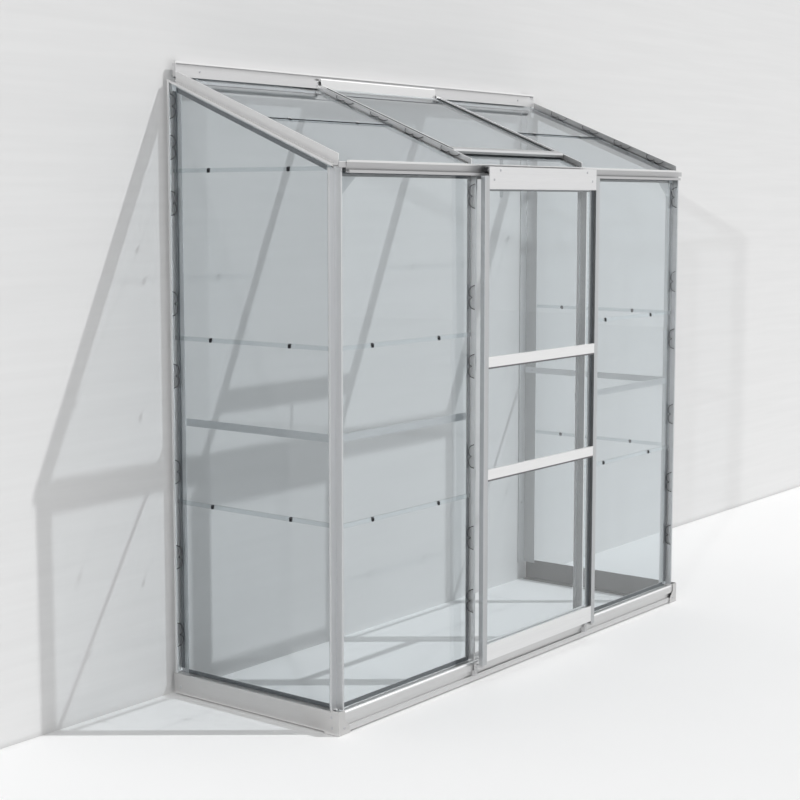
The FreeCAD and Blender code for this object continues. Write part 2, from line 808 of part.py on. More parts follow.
# Rubber strips between the frame and the glass
def glazing_rubber():
    low_z = upstand_z + edge_gap
    high_z = eave_leg_z - edge_gap
    bar_edge = bar_a - rib_t / 2.0
    start = flange_back + fit_gap
    strip_end = start + rubber_w
    wall_end = wall_rib_b - fit_gap
    wall_strip = under_roof(wall_end - rubber_w, wall_end, low_z, side_leg_n)
    eave_strip = rect(glass_back, flange_face, side_leg_n, side_leg_n + rubber_w)
    front = [
        box(start, strip_end, glass_back, flange_face, low_z, high_z),
        box(bar_edge - rubber_w, bar_edge, glass_back, flange_face, low_z, high_z),
        box(leg_gap, bar_edge, glass_back, flange_face, upstand_z - rubber_w, upstand_z),
        box(leg_gap, bar_edge, glass_back, flange_face, eave_leg_z, eave_leg_z + rubber_w),
    ]
    add("glazing_rubber_front", *front, *[mirrored(strip) for strip in front])
    side = [
        box(glass_back, flange_face, start, strip_end, low_z, high_z),
        prism_x(wall_strip, glass_back, flange_face),
        box(glass_back, flange_face, leg_gap, upright_b, side_ledge_z + fit_gap, upstand_z),
        prism_roof(eave_strip, corner_leg, wall_end - rubber_w - fit_gap),
    ]
    add("glazing_rubber_sides", *side, *[mirrored(strip) for strip in side])
    roof_start = flange_back + 2 * sheet
    roof_end = ridge_face_b - ridge_reach
    rib_back = core_face + rib_t
    bay_edge = bar_a + rib_t / 2.0
    bay_end = bay_glass_end * slope_cos
    roof = [
        prism_roof(rect(rib_back, rib_back + rubber_w, flange_n, -glass_t), roof_start, roof_end),
        prism_roof(rect(bar_edge - rubber_w, bar_edge, flange_n, -glass_t), roof_start, roof_end),
        prism_roof(rect(bay_edge, bay_edge + rubber_w, flange_n, -glass_t), roof_start, bay_end),
    ]
    add("glazing_rubber_roof", *roof, *[mirrored(strip) for strip in roof])
    sill_start = bar_a + bar_flange + fit_gap
    sill_strip = rect(bay_glass_end - rubber_w, bay_glass_end, flange_n, -glass_t)
    add("glazing_rubber_roof", prism_roof_x(sill_strip, sill_start, width - sill_start))
    shelf = base_depth - ridge_shelf_reach
    top_z = ridge_bottom_z - fit_gap
    ridge_strip = rect(shelf, shelf + sheet, top_z - ridge_strip_h, top_z)
    add("glazing_rubber_roof", prism_x(ridge_strip, ridge_back_inset, width - ridge_back_inset))


# Door stile: a hollow edge with a recessed flange for the panes
def door_stile():
    section = [
        (door_a, door_face, edge_gap),
        (stile_in, door_face),
        (stile_in, door_flange_b),
        (stile_flange_in, door_flange_b),
        (stile_flange_in, -door_back),
        (door_a, -door_back),
    ]
    core = rect(door_a + sheet, stile_in - sheet, door_face + sheet, door_flange_b)
    stile = prism_z(section, stile_low_z, stile_top_z).cut(prism_z(core, stile_low_z, stile_top_z))
    add_pair("door_stile", stile)
    strip_start = stile_in + edge_gap
    strip_end = strip_start + rubber_w
    strip_back = door_glass_b + glass_t
    strip_top_z = header_web_z - edge_gap
    strip = box(strip_start, strip_end, strip_back, door_flange_b, bottom_rail_z, strip_top_z)
    add("door_rubber", strip, mirrored(strip))


# Door rail: hollow box in front, web between the panes and flange behind
def door_rail(name, low_z, high_z, web_z, flange_low_z, flange_high_z):
    ends = stile_in + fit_gap
    inner = stile_flange_in + fit_gap
    outside = prism_x(rect(door_face, -rail_back, low_z, high_z), ends, width - ends)
    hollow = rect(door_face + sheet, -rail_back - sheet, low_z + sheet, high_z - sheet)
    pieces = [
        outside.cut(prism_x(hollow, ends, width - ends)),
        box(inner, width - inner, -rail_back, -door_back, web_z, web_z + sheet),
        box(inner, width - inner, door_flange_b, -door_back, flange_low_z, flange_high_z),
    ]
    add(name, joined(pieces))


# Door header: grooved plate with the glazing slot behind and the rollers' axles
def door_header():
    ends = stile_in + fit_gap
    inner = stile_flange_in + fit_gap
    plate_back = door_face + sheet
    plate = box(ends, width - ends, door_face, plate_back, header_low_z, header_top_z)
    groove_back = door_face + groove_depth
    for above_low in header_grooves_h:
        groove_z = header_low_z + above_low
        plate = plate.cut(box(ends, width - ends, door_face, groove_back, groove_z, groove_z + groove_h))
    flange_low_z = header_web_z - bead_drop
    pieces = [
        plate,
        box(ends, width - ends, plate_back, -rail_back, header_low_z, header_low_z + sheet),
        box(ends, width - ends, plate_back, -rail_back, header_top_z - sheet, header_top_z),
        box(inner, width - inner, plate_back, -door_back, header_web_z, header_web_z + sheet),
        box(inner, width - inner, door_flange_b, -door_back, flange_low_z, header_web_z),
    ]
    wheel_front = sheet / 2.0 - track_reach - roller_w / 2.0
    into = Vector(0, 1, 0)
    for wheel_a in (width / 2.0 - roller_offset, width / 2.0 + roller_offset):
        start = place(wheel_a, door_face + sheet / 2.0, axle_z)
        boss_end = wheel_front - fit_gap
        pieces.append(rod(start, into, boss_r, boss_end - door_face - sheet / 2.0))
        pieces.append(rod(start, into, axle_r, boss_end + roller_w + 3 * edge_gap - door_face))
        cap = place(wheel_a, wheel_front + roller_w + fit_gap, axle_z)
        pieces.append(rod(cap, into, axle_r + edge_gap, edge_gap))
    add("door_header", joined(pieces))


# Door panes between the rails' webs, in front of the stiles' flanges
def door_panes():
    a0 = stile_in + sheet / 4.0
    low_web_z = rail_web_z(rail_low_z)
    high_web_z = rail_web_z(rail_high_z)
    gap = edge_gap / 2.0
    spans = {
        "door_glass_lower": (bottom_web_z + sheet + gap, low_web_z - gap),
        "door_glass_middle": (low_web_z + sheet + gap, high_web_z - gap),
        "door_glass_upper": (high_web_z + sheet + gap, header_web_z - gap),
    }
    for name, (z0, z1) in spans.items():
        add(name, box(a0, width - a0, door_glass_b, door_glass_b + glass_t, z0, z1))


def rail_web_z(low_z):
    return low_z + (rail_h - sheet) / 2.0


# Door rollers: grooved wheels that run on the eave rail's lip
def door_rollers():
    front = sheet / 2.0 - track_reach - roller_w / 2.0
    rim_w = (roller_w - groove_w) / 2.0
    into = Vector(0, 1, 0)
    start = place(width / 2.0 - roller_offset, front, axle_z)
    inner_rim = start + into * (roller_w - rim_w)
    wheel = joined([
        rod(start, into, roller_r, roller_w),
        rod(start, into, roller_flange_r, rim_w),
        rod(inner_rim, into, roller_flange_r, rim_w),
    ])
    add_pair("door_roller", wheel.cut(rod(start, into, axle_r + running_gap, roller_w)))


# Door guides: feet under the stiles with a tongue in the front sill's groove
def door_guides():
    guide_a = door_a + sheet
    guide_end = guide_a + guide_w
    top_z = stile_low_z
    arm_z = top_z - guide_top_h
    neck_gap = sheet + fit_gap
    neck_low_z = recess_low_z + sheet + fit_gap
    neck_high_z = recess_high_z - sheet - fit_gap
    head_back = recess_depth - fit_gap
    pieces = [
        box(guide_a, guide_end, door_face + sheet, -guide_leg_back, arm_z, top_z),
        box(guide_a, guide_end, -guide_leg_front, -guide_leg_back, neck_low_z, top_z),
        box(guide_a, guide_end, -guide_leg_back, neck_gap, neck_low_z, neck_high_z),
        box(guide_a, guide_end, neck_gap, head_back, recess_low_z + fit_gap, recess_high_z - fit_gap),
    ]
    add("door_guides", joined(pieces), mirrored(joined(pieces)))


# Vent side bars: a web with a ledge under the glass and a cap on top
def vent_sides():
    edge = vent_edge
    start = vent_start + vent_rail_w + fit_gap
    web = rect(edge, edge + sheet, vent_low_n, vent_top_n)
    ledge = rect(edge, edge + sheet + vent_ledge, vent_low_n, vent_low_n + sheet)
    cap = rect(edge, edge + sheet + vent_cap, vent_top_n - sheet, vent_top_n)
    pieces = []
    for run in (web, ledge, cap):
        (a0, n0), (a1, n1) = run[0], run[2]
        pieces.append(prism_roof_x(rect(start, vent_side_end, n0, n1), a0, a1))
    add_pair("vent_side", joined(pieces))


# Vent bottom rail: a hollow nose with a ledge under the glass
def vent_bottom_rail():
    s0 = vent_start
    s1 = vent_start + vent_rail_w
    low = vent_low_n
    top = vent_top_n
    outer = [(s0, low), (s0, top - vent_cap), (s0 + vent_cap, top), (s1, top), (s1, low)]
    inner = [
        (s0 + sheet, low + sheet),
        (s0 + sheet, top - vent_cap - sheet / 2.0),
        (s0 + vent_cap + sheet / 2.0, top - sheet),
        (s1 - sheet, top - sheet),
        (s1 - sheet, low + sheet),
    ]
    nose = prism_roof_x(outer, vent_edge, width - vent_edge)
    nose = nose.cut(prism_roof_x(inner, vent_edge, width - vent_edge))
    ledge_a = vent_edge + sheet + vent_ledge + fit_gap
    ledge = prism_roof_x(rect(s1 - sheet, s1 + vent_ledge, low, low + sheet), ledge_a, width - ledge_a)
    down = Vector(0, slope_sin, -slope_cos)
    peg = rod(roof_place(width / 2.0, stay_pin_s, low + sheet / 2.0), down, stay_pin_r, stay_w / 2.0)
    add("vent_bottom_rail", joined([nose, ledge, peg]))


# Vent glass on the ledges of its frame
def vent_glass():
    start = vent_start + vent_rail_w + 3 * edge_gap
    low = vent_low_n + sheet
    edge = width / 2.0 - hinge_bar_half
    add("vent_glass", prism_roof_x(rect(start, vent_glass_end, low, low + glass_t), edge, width - edge))


# Vent hinge bar: a socket round the ridge rail's bead with a plate and a ledge below
def vent_hinge_bar():
    edge = width / 2.0 - hinge_bar_half
    length = 2 * hinge_bar_half
    axis = place(edge, bead_b, bead_z)
    into = Vector(1, 0, 0)
    reach = 2 * socket_r
    mouth = [
        (bead_b, bead_z),
        (bead_b, bead_z - reach),
        (bead_b + reach, bead_z - reach),
        (bead_b + reach, bead_z + reach * math.tan(math.radians(socket_open_angle))),
    ]
    ring = rod(axis, into, socket_r, length).cut(rod(axis, into, bead_r + running_gap, length))
    ring = ring.cut(prism_x(mouth, edge, edge + length))
    plate = box(edge, edge + length, hinge_plate_front, hinge_plate_back, hinge_plate_low_z, bead_z)
    groove_back = hinge_plate_front + groove_depth
    for above_low in hinge_grooves_h:
        groove_z = hinge_plate_low_z + above_low
        groove = box(edge, edge + length, hinge_plate_front, groove_back, groove_z, groove_z + groove_h)
        plate = plate.cut(groove)
    ledge_a = vent_edge + sheet + vent_ledge + fit_gap
    ledge_end = (hinge_plate_back + vent_low_n * slope_sin) / slope_cos
    ledge_run = rect(hinge_flange_start, ledge_end, vent_low_n, vent_low_n + sheet)
    ledge = prism_roof_x(ledge_run, ledge_a, width - ledge_a)
    add("vent_hinge_bar", joined([ring, plate, ledge]))


# Vent seals: beads on the edges of the glass, strips beside the roof bars and one under the hinge bar
def vent_seals():
    glass_top = vent_low_n + sheet + glass_t
    rail_end = vent_start + vent_rail_w
    bead_a = vent_edge + sheet + fit_gap
    low = vent_low_n + sheet
    bead = rect(rail_end + 3 * edge_gap, vent_side_end - rubber_w, glass_top, glass_top + rubber_t)
    strip = rect(rail_end, hinge_flange_start, low, vent_top_n)
    seals = [
        prism_roof_x(bead, bead_a + sheet, bead_a + rubber_w),
        prism_roof_x(strip, vent_edge - seal_w, vent_edge),
    ]
    add("vent_seals", *seals, *[mirrored(seal) for seal in seals])
    edge = width / 2.0 - hinge_bar_half
    top_z = hinge_plate_low_z - fit_gap
    under = rect(hinge_plate_front, hinge_plate_back, top_z - hinge_seal_h, top_z)
    add("vent_seals", prism_x(under, edge, width - edge))


# Wire clip: a W between the lip of a rib and the glass, drawn by run and share of the way
def wire_clip(to_space):
    line = [
        (-clip_half, 0.0),
        (-clip_shoulder, 1.0),
        (0.0, clip_rise),
        (clip_shoulder, 1.0),
        (clip_half, 0.0),
    ]
    points = [to_space(run, share) for run, share in line]
    path = Part.makePolygon(points)
    ring = Part.Wire(Part.makeCircle(wire_r, points[0], points[1] - points[0]))
    return path.makePipeShell([ring], True, False, 1)


def pane_places(lows, highs, insets):
    places = []
    for low, high, (above, below) in zip(lows, highs, insets):
        places += [low + above, high - below]
    return places


# Wire clips that press the glass onto the rubber
def wire_clips():
    far = rib_tip + rib_lip_t + wire_r + fit_gap
    near = glass_inset - wire_r - fit_gap
    bar_edge = bar_a - rib_t / 2.0
    side_in = wire_r + fit_gap
    roof_end_z = roof_z(wall_rib_b, side_leg_n)
    front_z = pane_places([front_ledge_z] + front_joints_z, front_joints_z + [gutter_z], front_clips)
    low_side_z = pane_places([side_ledge_z] + side_joints_z[:2], side_joints_z, side_clips)
    top_side_z = pane_places(side_joints_z[2:], [roof_end_z], [top_clips])
    clips = []
    for rib_a, sign in ((core_back, 1), (bar_edge, -1)):
        for z in front_z:
            def on_front(run, share):
                pane = near - glass_lift(z, front_joints_z, gutter_z)
                a = rib_a + sign * (side_in + clip_in * share)
                return place(a, far + (pane - far) * share, z + run)
            clips.append(wire_clip(on_front))
    for rib_b, sign, rows in ((core_back, 1, low_side_z), (wall_rib_b, -1, low_side_z + top_side_z)):
        for z in rows:
            def on_side(run, share):
                pane = near - glass_lift(z, side_joints_z, roof_z(wall_rib_b, 0))
                b = rib_b + sign * (side_in + clip_in * share)
                return place(far + (pane - far) * share, b, z + run)
            clips.append(wire_clip(on_side))
    roof_s = [roof_bar_start + roof_clip_start + roof_clip_pitch * i for i in range(roof_clips)]
    for rib_a, sign, top_n in ((core_face + rib_t, 1, end_rib_top), (bar_edge, -1, roof_rib_top)):
        for s in roof_s:
            def on_roof(run, share):
                lip_n = top_n - rib_lip_t - wire_r - fit_gap
                pane = glass_lift(s, [roof_joint], roof_glass_end) + wire_r + fit_gap
                a = rib_a + sign * (side_in + clip_in * share)
                return roof_place(a, s + run, lip_n + (pane - lip_n) * share)
            clips.append(wire_clip(on_roof))
    add("glazing_clips", *clips, *[mirrored(clip) for clip in clips])


# Lap clip section: an S over the edge of the lower pane and under the edge of the upper one
def lap_clip_section(joint):
    side = fit_gap / 2.0
    top = joint + lap + side
    low = joint - side
    front = glass_t + lap_gap + side
    return [
        (low - lap_clip_t, side),
        (top, side),
        (top, -glass_t - side),
        (top - lap_clip_h, -glass_t - side),
        (top - lap_clip_h, -glass_t - side - lap_clip_t),
        (top + lap_clip_t, -glass_t - side - lap_clip_t),
        (top + lap_clip_t, side + lap_clip_t),
        (low, side + lap_clip_t),
        (low, front),
        (low + lap_clip_h, front),
        (low + lap_clip_h, front + lap_clip_t),
        (low - lap_clip_t, front + lap_clip_t),
    ]


def upright_lap_clip(joint):
    return [(glass_inset - out, z) for z, out in lap_clip_section(joint)]


# Lap clips where one pane hangs on the next
def lap_clips():
    half = lap_clip_w / 2.0
    clips = []
    for joint in front_joints_z:
        for clip_a in lap_clip_pair(front_lap_clips, bar_a):
            clips.append(prism_x(upright_lap_clip(joint), clip_a - half, clip_a + half))
    for joint in side_joints_z:
        for clip_b in lap_clip_pair(side_lap_clips, base_depth):
            clips.append(prism_y(upright_lap_clip(joint), clip_b - half, clip_b + half))
    section = lap_clip_section(roof_joint)
    for clip_a in lap_clip_pair(roof_lap_clips, bar_a):
        clips.append(prism_roof_x(section, clip_a - half, clip_a + half))
    add("lap_clips", *clips, *[mirrored(clip) for clip in clips])


def lap_clip_pair(insets, end):
    return (core_back + insets[0], end - insets[1])


def fasten(names, point, direction, grip, node):
    """Screw with its head on the point's face, through holes in the named pieces."""
    cutter = rod(point, direction, screw_r + hole_gap, grip + fit_gap)
    for name in names:
        nodes[name] = [shape.cut(cutter) for shape in nodes[name]]
    head = rod(point - direction * screw_head_h, direction, screw_head_r, screw_head_h)
    add(node, joined([head, rod(point, direction, screw_r, grip)]))


def fasten_pair(name, point, direction, grip, node):
    """The same screw at both sides of the greenhouse."""
    fasten([name + "_left"], point, direction, grip, node)
    twin = Vector(-point.x, point.y, point.z)
    turned = Vector(-direction.x, direction.y, direction.z)
    fasten([name + "_right"], twin, turned, grip, node)


# Screws through the corner plates, sills, braces, gussets, ridge rail and door header
def fasteners():
    into = Vector(1, 0, 0)
    back = Vector(0, 1, 0)
    brace_mid_z = brace_z + brace_h / 2.0
    brace_face = flange_back + fit_gap + sheet
    for screw_b, screw_z in plate_screws:
        fasten_pair("corner_plate", place(screw_head_h, screw_b, screw_z), into, screw_grip, "frame_screws")
    plate_front = place(plate_front_screw_a, -fit_gap - sheet, plate_foot_z)
    fasten_pair("corner_plate", plate_front, back, sheet, "frame_screws")
    rear = place(sill_a, base_depth - sill_screw_back, sill_screw_z)
    fasten_pair("side_sill", rear, into, screw_grip, "frame_screws")
    for end_b in (corner_leg - brace_screw_inset, upright_b + upright_flange / 2.0):
        fasten_pair("side_brace", place(brace_face, end_b, brace_mid_z), -into, sheet, "frame_screws")
    for end_a in (corner_leg - brace_screw_inset, bar_a + bar_flange / 2.0):
        fasten_pair("front_brace", place(end_a, brace_face, brace_mid_z), -back, sheet, "frame_screws")
    gusset_z = post_top_z - gusset_screw_drop
    for gusset_a in (corner_leg + gusset_screw_insets[0], gusset_end - gusset_screw_insets[1]):
        fasten_pair("gusset", place(gusset_a, brace_face, gusset_z), -back, sheet, "frame_screws")
    ridge_z = ridge_step_z - ridge_screw_drop
    for screw_a in (ridge_screw_insets[0], width - ridge_screw_insets[1]):
        fasten(["ridge_rail"], place(screw_a, ridge_face_b, ridge_z), back, screw_grip, "frame_screws")
    for screw_a, above_low in header_screws:
        for a in (stile_in + screw_a, width - stile_in - screw_a):
            point = place(a, door_face, header_low_z + above_low)
            fasten(["door_header"], point, back, sheet, "door_header_screws")


corner_plates()
front_sill()
side_sills()
corner_posts()
front_bars()
eave_rail()
eave_end_caps()
roof_end_bars()
roof_bars()
ridge_rail()
wall_uprights()
braces()
gussets()
wall_glass()
roof_glass()
vent_sill()
vent_stay()
glazing_rubber()
wire_clips()
lap_clips()
door_stile()
door_header()
door_rail(
    "door_rail_upper",
    rail_high_z,
    rail_high_z + rail_h,
    rail_web_z(rail_high_z),
    rail_web_z(rail_high_z) - bead_drop / 2.0,
    rail_web_z(rail_high_z) + bead_drop / 2.0,
)
door_rail(
    "door_rail_lower",
    rail_low_z,
    rail_low_z + rail_h,
    rail_web_z(rail_low_z),
    rail_web_z(rail_low_z) - bead_drop / 2.0,
    rail_web_z(rail_low_z) + bead_drop / 2.0,
)
door_rail(
    "door_bottom_rail",
    bottom_rail_z,
    bottom_rail_z + bottom_rail_h,
    bottom_web_z,
    bottom_web_z,
    bottom_web_z + bead_drop,
)
door_panes()
door_rollers()
door_guides()
vent_sides()
vent_bottom_rail()
vent_glass()
vent_hinge_bar()
vent_seals()
fasteners()

for name, shapes in nodes.items():
    shape = shapes[0] if len(shapes) == 1 else Part.makeCompound(shapes)
    shape.exportStep(os.path.join("parts", name + ".step"))
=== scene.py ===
"""Looks of a lean-to greenhouse: drawn aluminium, clear panes, rubber, wire clips and screws."""

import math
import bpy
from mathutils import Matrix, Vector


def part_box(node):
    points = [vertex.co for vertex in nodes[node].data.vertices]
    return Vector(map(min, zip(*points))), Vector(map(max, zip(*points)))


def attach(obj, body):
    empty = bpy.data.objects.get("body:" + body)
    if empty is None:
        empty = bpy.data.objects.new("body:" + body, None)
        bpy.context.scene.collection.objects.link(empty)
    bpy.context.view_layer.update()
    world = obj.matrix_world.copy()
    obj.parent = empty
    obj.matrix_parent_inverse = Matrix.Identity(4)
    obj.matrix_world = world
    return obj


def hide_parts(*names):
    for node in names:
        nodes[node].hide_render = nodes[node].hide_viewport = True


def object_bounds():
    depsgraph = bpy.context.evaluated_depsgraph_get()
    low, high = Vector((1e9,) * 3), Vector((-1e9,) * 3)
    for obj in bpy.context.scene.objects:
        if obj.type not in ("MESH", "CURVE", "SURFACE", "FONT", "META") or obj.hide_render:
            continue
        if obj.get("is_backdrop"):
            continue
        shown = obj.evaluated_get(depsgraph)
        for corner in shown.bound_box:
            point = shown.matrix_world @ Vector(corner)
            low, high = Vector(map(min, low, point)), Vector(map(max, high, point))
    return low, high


bl_info = {
    "name": "Lean-to Greenhouse",
    "version": (1, 0, 0),
    "blender": (4, 5, 0),
    "location": "View3D > Sidebar > Greenhouse",
    "description": "Finishes a small lean-to greenhouse in metal, glass, rubber and wire",
    "category": "Object",
}

import bmesh
import bpy
from bpy.props import FloatProperty, FloatVectorProperty, IntProperty, PointerProperty
from bpy.types import NodeSocket, Operator, Panel, PropertyGroup
from mathutils import Vector

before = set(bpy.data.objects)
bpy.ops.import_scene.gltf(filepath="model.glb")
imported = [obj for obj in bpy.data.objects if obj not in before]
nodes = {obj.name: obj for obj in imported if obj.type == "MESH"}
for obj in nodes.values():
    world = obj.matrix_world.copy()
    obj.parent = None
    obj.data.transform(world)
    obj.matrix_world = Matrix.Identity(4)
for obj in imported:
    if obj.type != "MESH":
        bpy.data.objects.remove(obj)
frame_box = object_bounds()
frame_top = frame_box[1][2]

ROOF_PITCH = math.radians(22.05)
WELD = 1e-6  # metres between corners of a node's triangles that are one point

# Scale and detail of each noise, and the roughness of the lines'
LINE_NOISE = (1.0, 4.0, 0.65)
CLOUD_NOISE = (0.035, 3.0)
WAVE_NOISE = (2.2, 1.0)
PLASTER_NOISE = (1.0, 3.0)
RAMP_STOPS = (0.3, 0.7)  # levels of a noise at which its dark and its light colour are full

# Metal: two levels of a noise with the brightness that each gives, and which faces get painted
# shade or painted highlight
LINE_TONES = (0.25, 0.75, 0.86, 1.06)
CLOUD_TONES = (0.3, 0.7, 0.95, 1.03)
LINE_STRETCH = 0.02  # scale of the grain along a section, as a share of that across it
LINE_RELIEF, LINE_DEPTH = 0.06, 0.0002
INWARD = -0.2  # metres from the middle times the sideways normal, below which a face looks inwards and gets painted shade
UPWARD = (0.4, 0.9)  # upright part of the normal at which a face starts to look up, and fully does, for the painted light on upward faces
RAIL_POLISH = 0.04  # how much less rough the door's rails are
LAP_CLIP_ROUGHNESS, WIRE_ROUGHNESS, SCREW_ROUGHNESS = 0.4, 0.3, 0.32

# Glass, rubber and nylon
WAVE_DEPTH = 0.002
RUBBER_SPECK, NYLON_SPECK, SPECK_DETAIL = 900.0, 1500.0, 3.0
RUBBER_RELIEF, NYLON_RELIEF = 0.0002, 0.0001
SOFT_SHEEN, NYLON_ROUGHNESS = 0.4, 0.45
SPECK_STRENGTH, SPECK_DARK, SPECK_LIGHT, SPECK_HAZE = 0.25, 0.8, 1.25, 0.08

# Clips: how the bends of a wire are found in its solid
UPRIGHT_DEPTH = 0.03  # a clip that reaches less far than this from front to back stands upright
END_SHARE = 0.9  # points beyond this share of a clip's half length are at its ends
SHOULDER_REACH = 0.004  # metres from a shoulder within which points count to it
WIRE_SIDES = 8

# Screws: the outline of a head as shares of its radius and height, from the middle outwards
HEAD_OUTLINE = (
    (0.10, 1.0), (0.30, 0.985), (0.55, 0.93), (0.78, 0.80), (0.92, 0.58), (0.985, 0.30), (1.0, 0.0))
HEAD_SIDES = 32
CROSS_REACH = 0.62  # share of the radius that the cross takes up
SHANK_RADIUS = 0.003  # points further than this from a screw's middle belong to its head
FLUSH = 1e-5  # metres between a screw's end and its head's where they are one

# Stage
STAGE_REACH, WALL_HEIGHT = 14.0, 9.0
STAGE_GAP = 0.001  # metres between the greenhouse and the wall or the floor
TOUCHING = 0.02  # metres within which the wall doesn't hide what leans on it
FIRST_BOUNCE = 1.5  # a ray's depth stays below this until it has bounced twice
WALL_MARKS, WALL_SCALE = 0.015, (2.0, 2.0, 45.0)  # faint level lines
FLOOR_MARKS, FLOOR_SCALE = 0.005, (1.5, 1.5, 1.5)
PLASTER_ROUGHNESS, PLASTER_SHEEN = 0.85, 0.2
SENSOR_WIDTH, FAR_CLIP = 36.0, 100.0


def pair(name):
    """Names of a piece's left and right one."""
    return [name + "_left", name + "_right"]


# Which way each metal piece was drawn through its die, and so which way its grain runs
ALONG_X, ALONG_Y, ALONG_Z, UP_SLOPE = "x", "y", "z", "slope"
GRAIN_AXIS = {ALONG_X: 0, ALONG_Y: 1, ALONG_Z: 2, UP_SLOPE: 1}
GRAIN = {
    ALONG_X: [
        "front_sill", "eave_rail", "ridge_rail", "vent_sill", "vent_bottom_rail", "vent_hinge_bar",
        "door_header", "door_rail_upper", "door_rail_lower", "door_bottom_rail",
        *pair("front_brace"), *pair("gusset"), *pair("eave_end_cap"),
    ],
    ALONG_Y: [*pair("side_sill"), *pair("side_brace")],
    ALONG_Z: [
        *pair("corner_post"), *pair("front_bar"), *pair("wall_upright"), *pair("door_stile"),
        *pair("corner_plate"), "vent_stay",
    ],
    UP_SLOPE: [*pair("roof_end_bar"), *pair("roof_bar"), *pair("vent_side")],
}


def colour_property(name, description, default):
    return FloatVectorProperty(
        name=name, description=description, default=default, subtype="COLOR", size=3,
        min=0.0, max=1.0)


def length_property(name, description, default):
    return FloatProperty(
        name=name, description=description, default=default, unit="LENGTH", min=0.0, precision=5)


def share_property(name, description, default, low=0.0, high=1.0):
    return FloatProperty(
        name=name, description=description, default=default, subtype="FACTOR", min=low, max=high)


def angle_property(name, description, default):
    return FloatProperty(name=name, description=description, default=default, subtype="ANGLE")


def vector_property(name, description, default, subtype):
    return FloatVectorProperty(
        name=name, description=description, default=default, subtype=subtype, size=3)


class GREENHOUSE_PG_metal(PropertyGroup):
    # These colours are all one drawn aluminium; their levels differ as painted light and shade:
    # lighter on the front sill, ridge, uprights, front bars, roof bars, header, rails and vent
    # sides, darker on the eave, stiles and vent rail, for how light falls on each
    frame_colour: colour_property(
        "Frame", "Colour of the corner posts, braces, gussets, vent sill and stay",
        (0.60, 0.61, 0.62))
    sill_colour: colour_property(
        "Side sills", "Colour of the side sills and corner plates", (0.60, 0.595, 0.59))
    front_colour: colour_property("Front sill", "Colour of the front sill", (0.65, 0.65, 0.65))
    eave_colour: colour_property(
        "Eave", "Colour of the eave rail and its caps", (0.50, 0.50, 0.505))
    ridge_colour: colour_property("Ridge", "Colour of the ridge rail", (0.65, 0.65, 0.655))
    # Painted highlight: this lighter colour on the upper lip of eave and ridge and on the lap
    # clips' upward faces stands for the highlights the lamps put there
    painted_highlight_colour: colour_property(
        "Lips", "Colour of the upper lip of eave and ridge and of the lap clips where they look up",
        (0.82, 0.82, 0.82))
    upright_colour: colour_property("Uprights", "Colour of the wall uprights", (0.78, 0.785, 0.79))
    bar_colour: colour_property(
        "Front bars", "Colour of the bars beside the door", (0.76, 0.765, 0.77))
    roof_colour: colour_property(
        "Roof bars", "Colour of the roof bars and the vent's hinge bar", (0.76, 0.76, 0.76))
    header_colour: colour_property("Header", "Colour of the door's header", (0.71, 0.71, 0.715))
    rail_colour: colour_property("Door rails", "Colour of the door's rails", (0.82, 0.82, 0.82))
    stile_colour: colour_property("Stiles", "Colour of the door's stiles", (0.50, 0.51, 0.52))
    # Painted shadow: a dark band along the foot of the header and rails stands for the shade under
    # them
    painted_under_shadow_colour: colour_property(
        "Joints", "Colour of the painted shadow under the header and the door's rails", (0.17, 0.17, 0.175))
    vent_colour: colour_property("Vent sides", "Colour of the vent's sides", (0.86, 0.865, 0.87))
    vent_rail_colour: colour_property(
        "Vent rail", "Colour of the vent's bottom rail", (0.50, 0.505, 0.51))
    wire_colour: colour_property("Wire", "Colour of the wire clips", (0.06, 0.06, 0.063))
    # Painted shade: the lap clips are near black, standing for their own shade
    lap_clip_shade_colour: colour_property("Lap clips", "Colour of the lap clips", (0.035, 0.035, 0.04))
    screw_colour: colour_property("Screws", "Colour of the screws", (0.50, 0.50, 0.52))
    # Painted shade: faces that look inwards are darker by these shares, standing for the shade
    # inside the frame
    sill_painted_shade: share_property(
        "Sill shade", "How much duller the side sills are towards the inside", 0.72)
    upright_painted_shade: share_property(
        "Upright shade", "How much duller the uprights are towards the inside", 0.45)
    bar_painted_shade: share_property("Bar shade", "How much duller the bars are towards the inside", 0.60)
    roof_painted_shade: share_property(
        "Roof shade", "How much duller the roof bars are towards the inside", 0.45)
    stile_painted_shade: share_property(
        "Stile shade", "How much duller the stiles are towards the inside", 0.55)
    # Height of the painted shadow band under the header and rails
    painted_under_shadow_height: length_property(
        "Joint", "Height of the painted shadow under the header and the door's rails", 0.005)
    # Height of the painted highlight band along the upper lip of eave and ridge
    painted_highlight_height: length_property(
        "Lip", "Height of the lip along the top of the eave and ridge", 0.0055)
    roughness: share_property("Roughness", "How dull the drawn metal is", 0.42)
    grain: share_property("Grain", "Strength of the drawing lines", 0.35)
    grain_width: length_property("Grain width", "Width of one drawing line", 0.0012)


